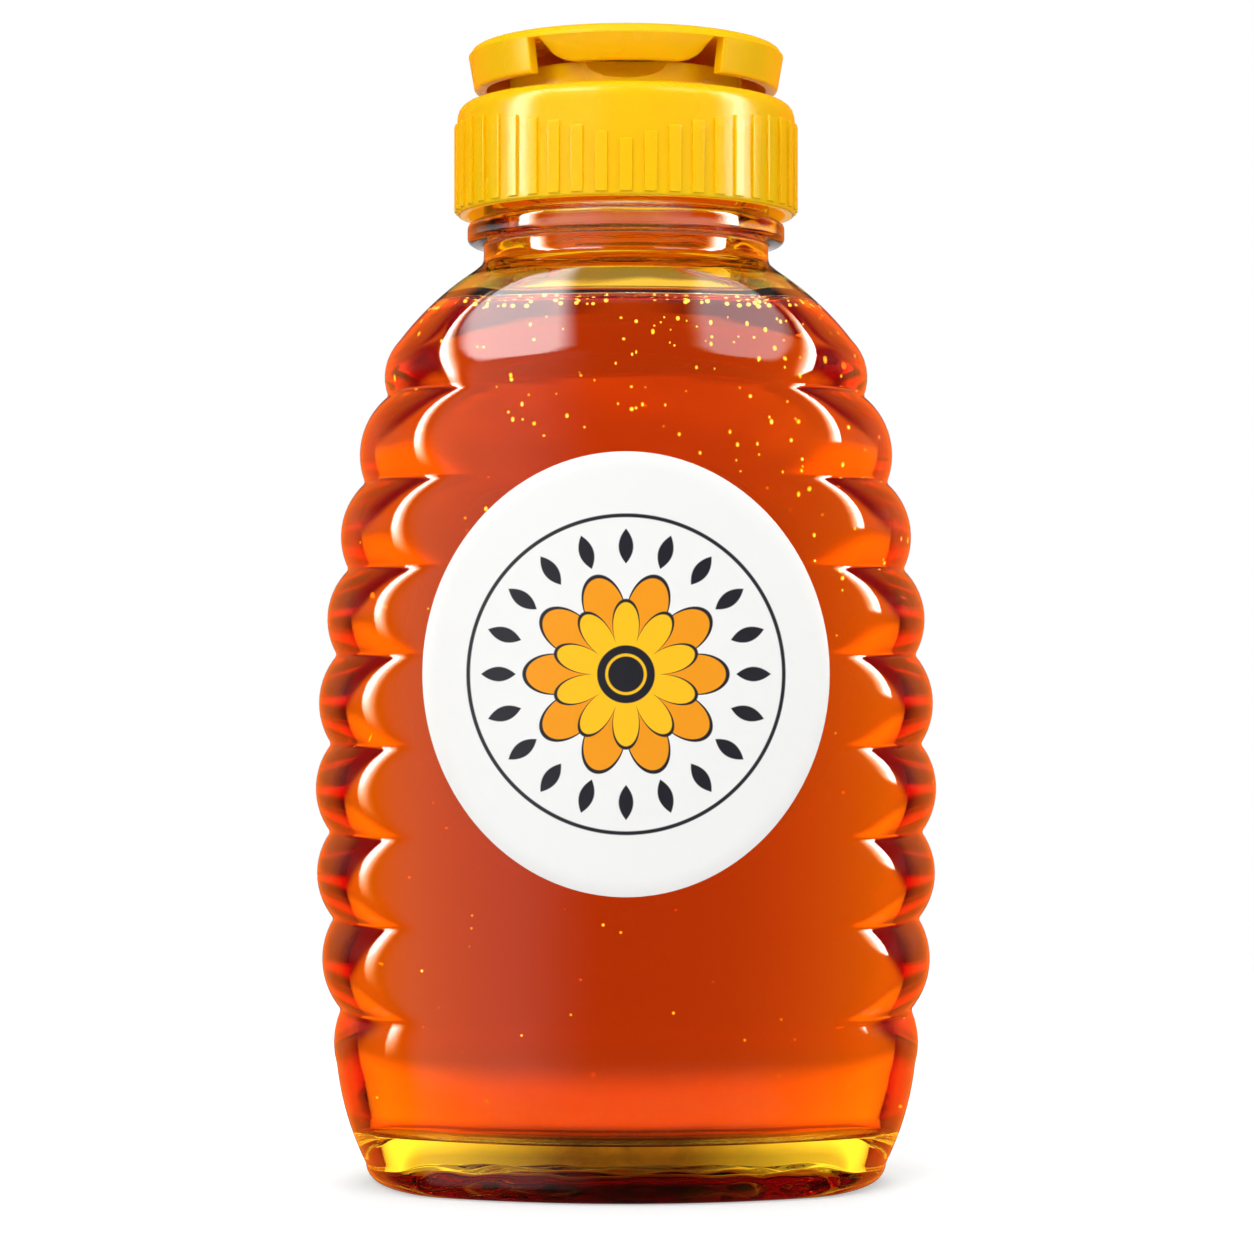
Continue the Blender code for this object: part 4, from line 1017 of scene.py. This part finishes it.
outline = moulded([
    (SKIRT_BORE_R, SKIRT_LOW_Z, 0.2), (SKIRT_R, SKIRT_LOW_Z, 0.35), (SKIRT_R, SKIRT_TOP_Z, SKIRT_SHOULDER),
    (COLLAR_R, SKIRT_TOP_Z, 0.3), (COLLAR_R, COLLAR_TOP_Z, 0.35), (SPOUT_R + 0.2, COLLAR_TOP_Z, 0.25),
    (SPOUT_R - 0.1, SPOUT_TOP_Z, 0.35), (SPOUT_BORE_R, SPOUT_TOP_Z, 0.3), (SPOUT_BORE_R, POCKET_TOP_Z, 0),
    (POCKET_R, POCKET_TOP_Z, 0), (POCKET_R, DECK_UNDER_Z, 0.2), (PLUG_R - PLUG_WALL, DECK_UNDER_Z, 0.2),
    (PLUG_R - PLUG_WALL, PLUG_LOW_Z, 0.2), (PLUG_R, PLUG_LOW_Z, 0.4), (PLUG_R, DECK_UNDER_Z, 0.2),
    (SKIRT_BORE_R, DECK_UNDER_Z, 0.4)], steps=6)
cap = finish(lathe(outline, CAP_SEGMENTS), "screw_cap", [yellow], None)
bars = bmesh.new()
for i in range(RIBS):
    turn = math.tau * (i + 0.5) / RIBS
    dip = RIB_DIP * (1 - abs(math.sin(turn))) ** 1.5 if math.cos(turn) < 0 else 0.0
    size = (RIB_WIDTH, RIB_PROUD + RIB_ROOT, RIB_HIGH_Z - dip - RIB_LOW_Z)
    middle = (0.0, SKIRT_R - RIB_ROOT + size[1] / 2, RIB_LOW_Z + size[2] / 2)
    bar = add_box(bars, size, middle)
    bmesh.ops.rotate(bars, verts=bar, cent=(0, 0, 0), matrix=Matrix.Rotation(turn, 3, "Z"))
bmesh.ops.bevel(bars, geom=bars.edges[:], offset=RIB_BEVEL, affect="EDGES", segments=2, profile=0.5,
                material=-1)
boolean(cap, bars, "UNION")
boss = block((BOSS_WIDTH, BOSS_Y - CAP_BOSS_IN_Y, CAP_BOSS_HEIGHT),
             (0.0, (BOSS_Y + CAP_BOSS_IN_Y) / 2, CAP_BOSS_Z), BOSS_BEVEL)
boolean(cap, boss, "UNION")
scoop = bmesh.new()
bmesh.ops.create_uvsphere(scoop, u_segments=64, v_segments=32, radius=1.0)
bmesh.ops.scale(scoop, verts=scoop.verts, vec=SCOOP_SIZE)
bmesh.ops.translate(scoop, verts=scoop.verts, vec=(0.0, -COLLAR_R - SCOOP_OUT, COLLAR_TOP_Z + SCOOP_UP))
boolean(cap, scoop, "DIFFERENCE")
shade(cap, 32.0)
# the underside of the deck and the inside of the skirt get the painted glow
cap.data.materials.append(lit_through)
for face in cap.data.polygons:
    reach = Vector(face.center.xy).length / MM
    under = face.center.z < (DECK_UNDER_Z + 0.1) * MM
    face.material_index = int(under and PLUG_R - 0.1 < reach < SKIRT_R - 0.5)
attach(cap, "cap")
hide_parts("cap")

# %% [markdown]
# The lid is a shallow shell that lies over the collar. Its wall stops at both sides of the notch at the
# front, so it is swung round most of a turn, and the bare ends of that swing are bevelled, where a cut
# through a finished ring would have left a sharp edge. The top and the tab under its front edge are joined
# to it.

# %% The flip lid
LID_R, LID_LOW_R, LID_LOW_Z, LID_TOP_Z, LID_WALL = 19.0, 18.3, 131.3, 137.0, 1.5
PIN_R, PIN_WALL, PIN_LOW_Z = 4.7, 0.8, 132.3
NOTCH_HALF_ANGLE, NOTCH_TOP_Z = 37.2, 135.3
TAB_HALF_ANGLE, TAB_ROUND_ANGLE, TAB_LOW_Z, TAB_END_RISE = 34.0, 20.0, 132.5, 2.7
BARE_END_BEVEL = 0.35
LID_SEGMENTS = 180
LID_BOSS_IN_Y, LID_BOSS_HEIGHT, LID_BOSS_Z = 17.4, 2.2, 132.4
under_z = LID_TOP_Z - LID_WALL
join_z = NOTCH_TOP_Z + 0.15  # wall and tab run a little way into the top

outline = moulded([
    (0.0, LID_TOP_Z, 0), (10.0, LID_TOP_Z - 0.1, 3.0), (LID_R - 0.7, LID_TOP_Z - 0.45, 1.7),
    (LID_R, NOTCH_TOP_Z, 0), (LID_R - LID_WALL, NOTCH_TOP_Z, 0.15), (LID_R - LID_WALL - 0.1, under_z, 0.1),
    (PIN_R, under_z, 0.3), (PIN_R, PIN_LOW_Z, 0.3), (PIN_R - PIN_WALL, PIN_LOW_Z, 0.2),
    (PIN_R - PIN_WALL, under_z, 0.2), (0.0, under_z, 0)], steps=6, closed=False)
lid = finish(lathe(outline, LID_SEGMENTS, closed=False), "flip_lid_shell", [yellow], None)
wall_section = moulded([
    (LID_R, join_z, 0), (LID_LOW_R, LID_LOW_Z, 0.4), (LID_LOW_R - LID_WALL, LID_LOW_Z, 0.3),
    (LID_R - LID_WALL, join_z, 0)], steps=4)
swung = front_arc(wall_section, math.radians(180.0 - NOTCH_HALF_ANGLE), 140)
bmesh.ops.rotate(swung, verts=swung.verts, cent=(0, 0, 0), matrix=Matrix.Rotation(math.pi, 3, "Z"))
ends = [face for face in swung.faces if len(face.verts) > 4]
print("bare ends:", len(ends), "triangles so far:", len(swung.faces) * 2)
bmesh.ops.bevel(swung, geom=list({edge for face in ends for edge in face.edges}), offset=BARE_END_BEVEL,
                affect="EDGES", segments=3, profile=0.5, material=-1, clamp_overlap=True)
boolean(lid, swung, "UNION")
tab_section = moulded([
    (LID_R - 0.02, join_z, 0), (LID_R - 0.7, NOTCH_TOP_Z - 0.9, 0.5), (LID_R - 2.4, TAB_LOW_Z, 0.3),
    (LID_R - 3.4, TAB_LOW_Z, 0.3), (LID_R - 3.6, NOTCH_TOP_Z + 0.4, 0)], steps=4)
tab = front_arc(tab_section, math.radians(TAB_HALF_ANGLE), 60)
round_from, round_to = math.radians(TAB_ROUND_ANGLE), math.radians(TAB_HALF_ANGLE)
for vert in tab.verts:
    lift = max(0.0, (abs(math.atan2(vert.co.x, -vert.co.y)) - round_from) / (round_to - round_from))
    drop = (join_z - vert.co.z) / (join_z - TAB_LOW_Z)
    vert.co.z += max(0.0, drop) * TAB_END_RISE * (1 - math.sqrt(max(0.0, 1 - lift * lift)))
boolean(lid, tab, "UNION")
boss = block((BOSS_WIDTH, BOSS_Y - LID_BOSS_IN_Y, LID_BOSS_HEIGHT),
             (0.0, (BOSS_Y + LID_BOSS_IN_Y) / 2, LID_BOSS_Z), BOSS_BEVEL)
boolean(lid, boss, "UNION")
shade(lid, 32.0)
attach(lid, "lid")
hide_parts("flip_lid")

# %% [markdown]
# Cap and lid are one moulding. What joins them is a film hinge: a strip 0.2 mm thin that bends instead of
# turning on a pin. Here it is a subdivided strip sunk in the two blocks, left where it is made.

# %% The film hinge
HINGE_THICK, HINGE_BITE = 0.2, 0.02  # mm, and how far the strip is sunk in its blocks
HINGE_LOW_Z, HINGE_HIGH_Z = 128.9, 132.0
bm = bmesh.new()
add_box(bm, (HINGE_WIDTH, HINGE_THICK, HINGE_HIGH_Z - HINGE_LOW_Z),
        (0.0, BOSS_Y - HINGE_BITE + HINGE_THICK / 2, (HINGE_LOW_Z + HINGE_HIGH_Z) / 2))
upright = [edge for edge in bm.edges if abs(edge.verts[0].co.z - edge.verts[1].co.z) > 1.0]
bmesh.ops.subdivide_edges(bm, edges=upright, cuts=24, use_grid_fill=True)
hinge = finish(bm, "film_hinge_strip", [yellow], None)
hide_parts("film_hinge")
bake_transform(hinge)

# %% [markdown]
# The valve and its ring sit inside the cap and show only through the spout. Their solids have the right
# shape, so they stay and only get the look of what they are made of.

# %% Valve materials
silicone, tree, shader = new_material("clear_silicone_rubber", {
    "Roughness": 0.35, "IOR": 1.41, "Transmission Weight": 0.35, "Subsurface Weight": 0.3,
    "Subsurface Scale": 0.001, "Subsurface Radius": (1.0, 0.9, 0.8)})
mottled(tree, shader, add(tree, "TexCoord").outputs["Object"], 2.5, "E4E0D4", "F2EFE6")
natural, tree, shader = new_material("natural_polypropylene", {
    "Roughness": 0.4, "IOR": 1.49, "Subsurface Weight": 0.4, "Subsurface Scale": 0.002})
mottled(tree, shader, add(tree, "TexCoord").outputs["Object"], 3.3, "E2E0D8", "EEECE4")
for node, mat in (("valve", silicone), ("valve_ring", natural)):
    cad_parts[node].data.materials.clear()
    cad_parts[node].data.materials.append(mat)
    print(node, "is made of", mat.name)

# %% Measure and finish
low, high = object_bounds()
print("dressed in mm:", [round(v * 1000, 1) for v in (*low, *high)])
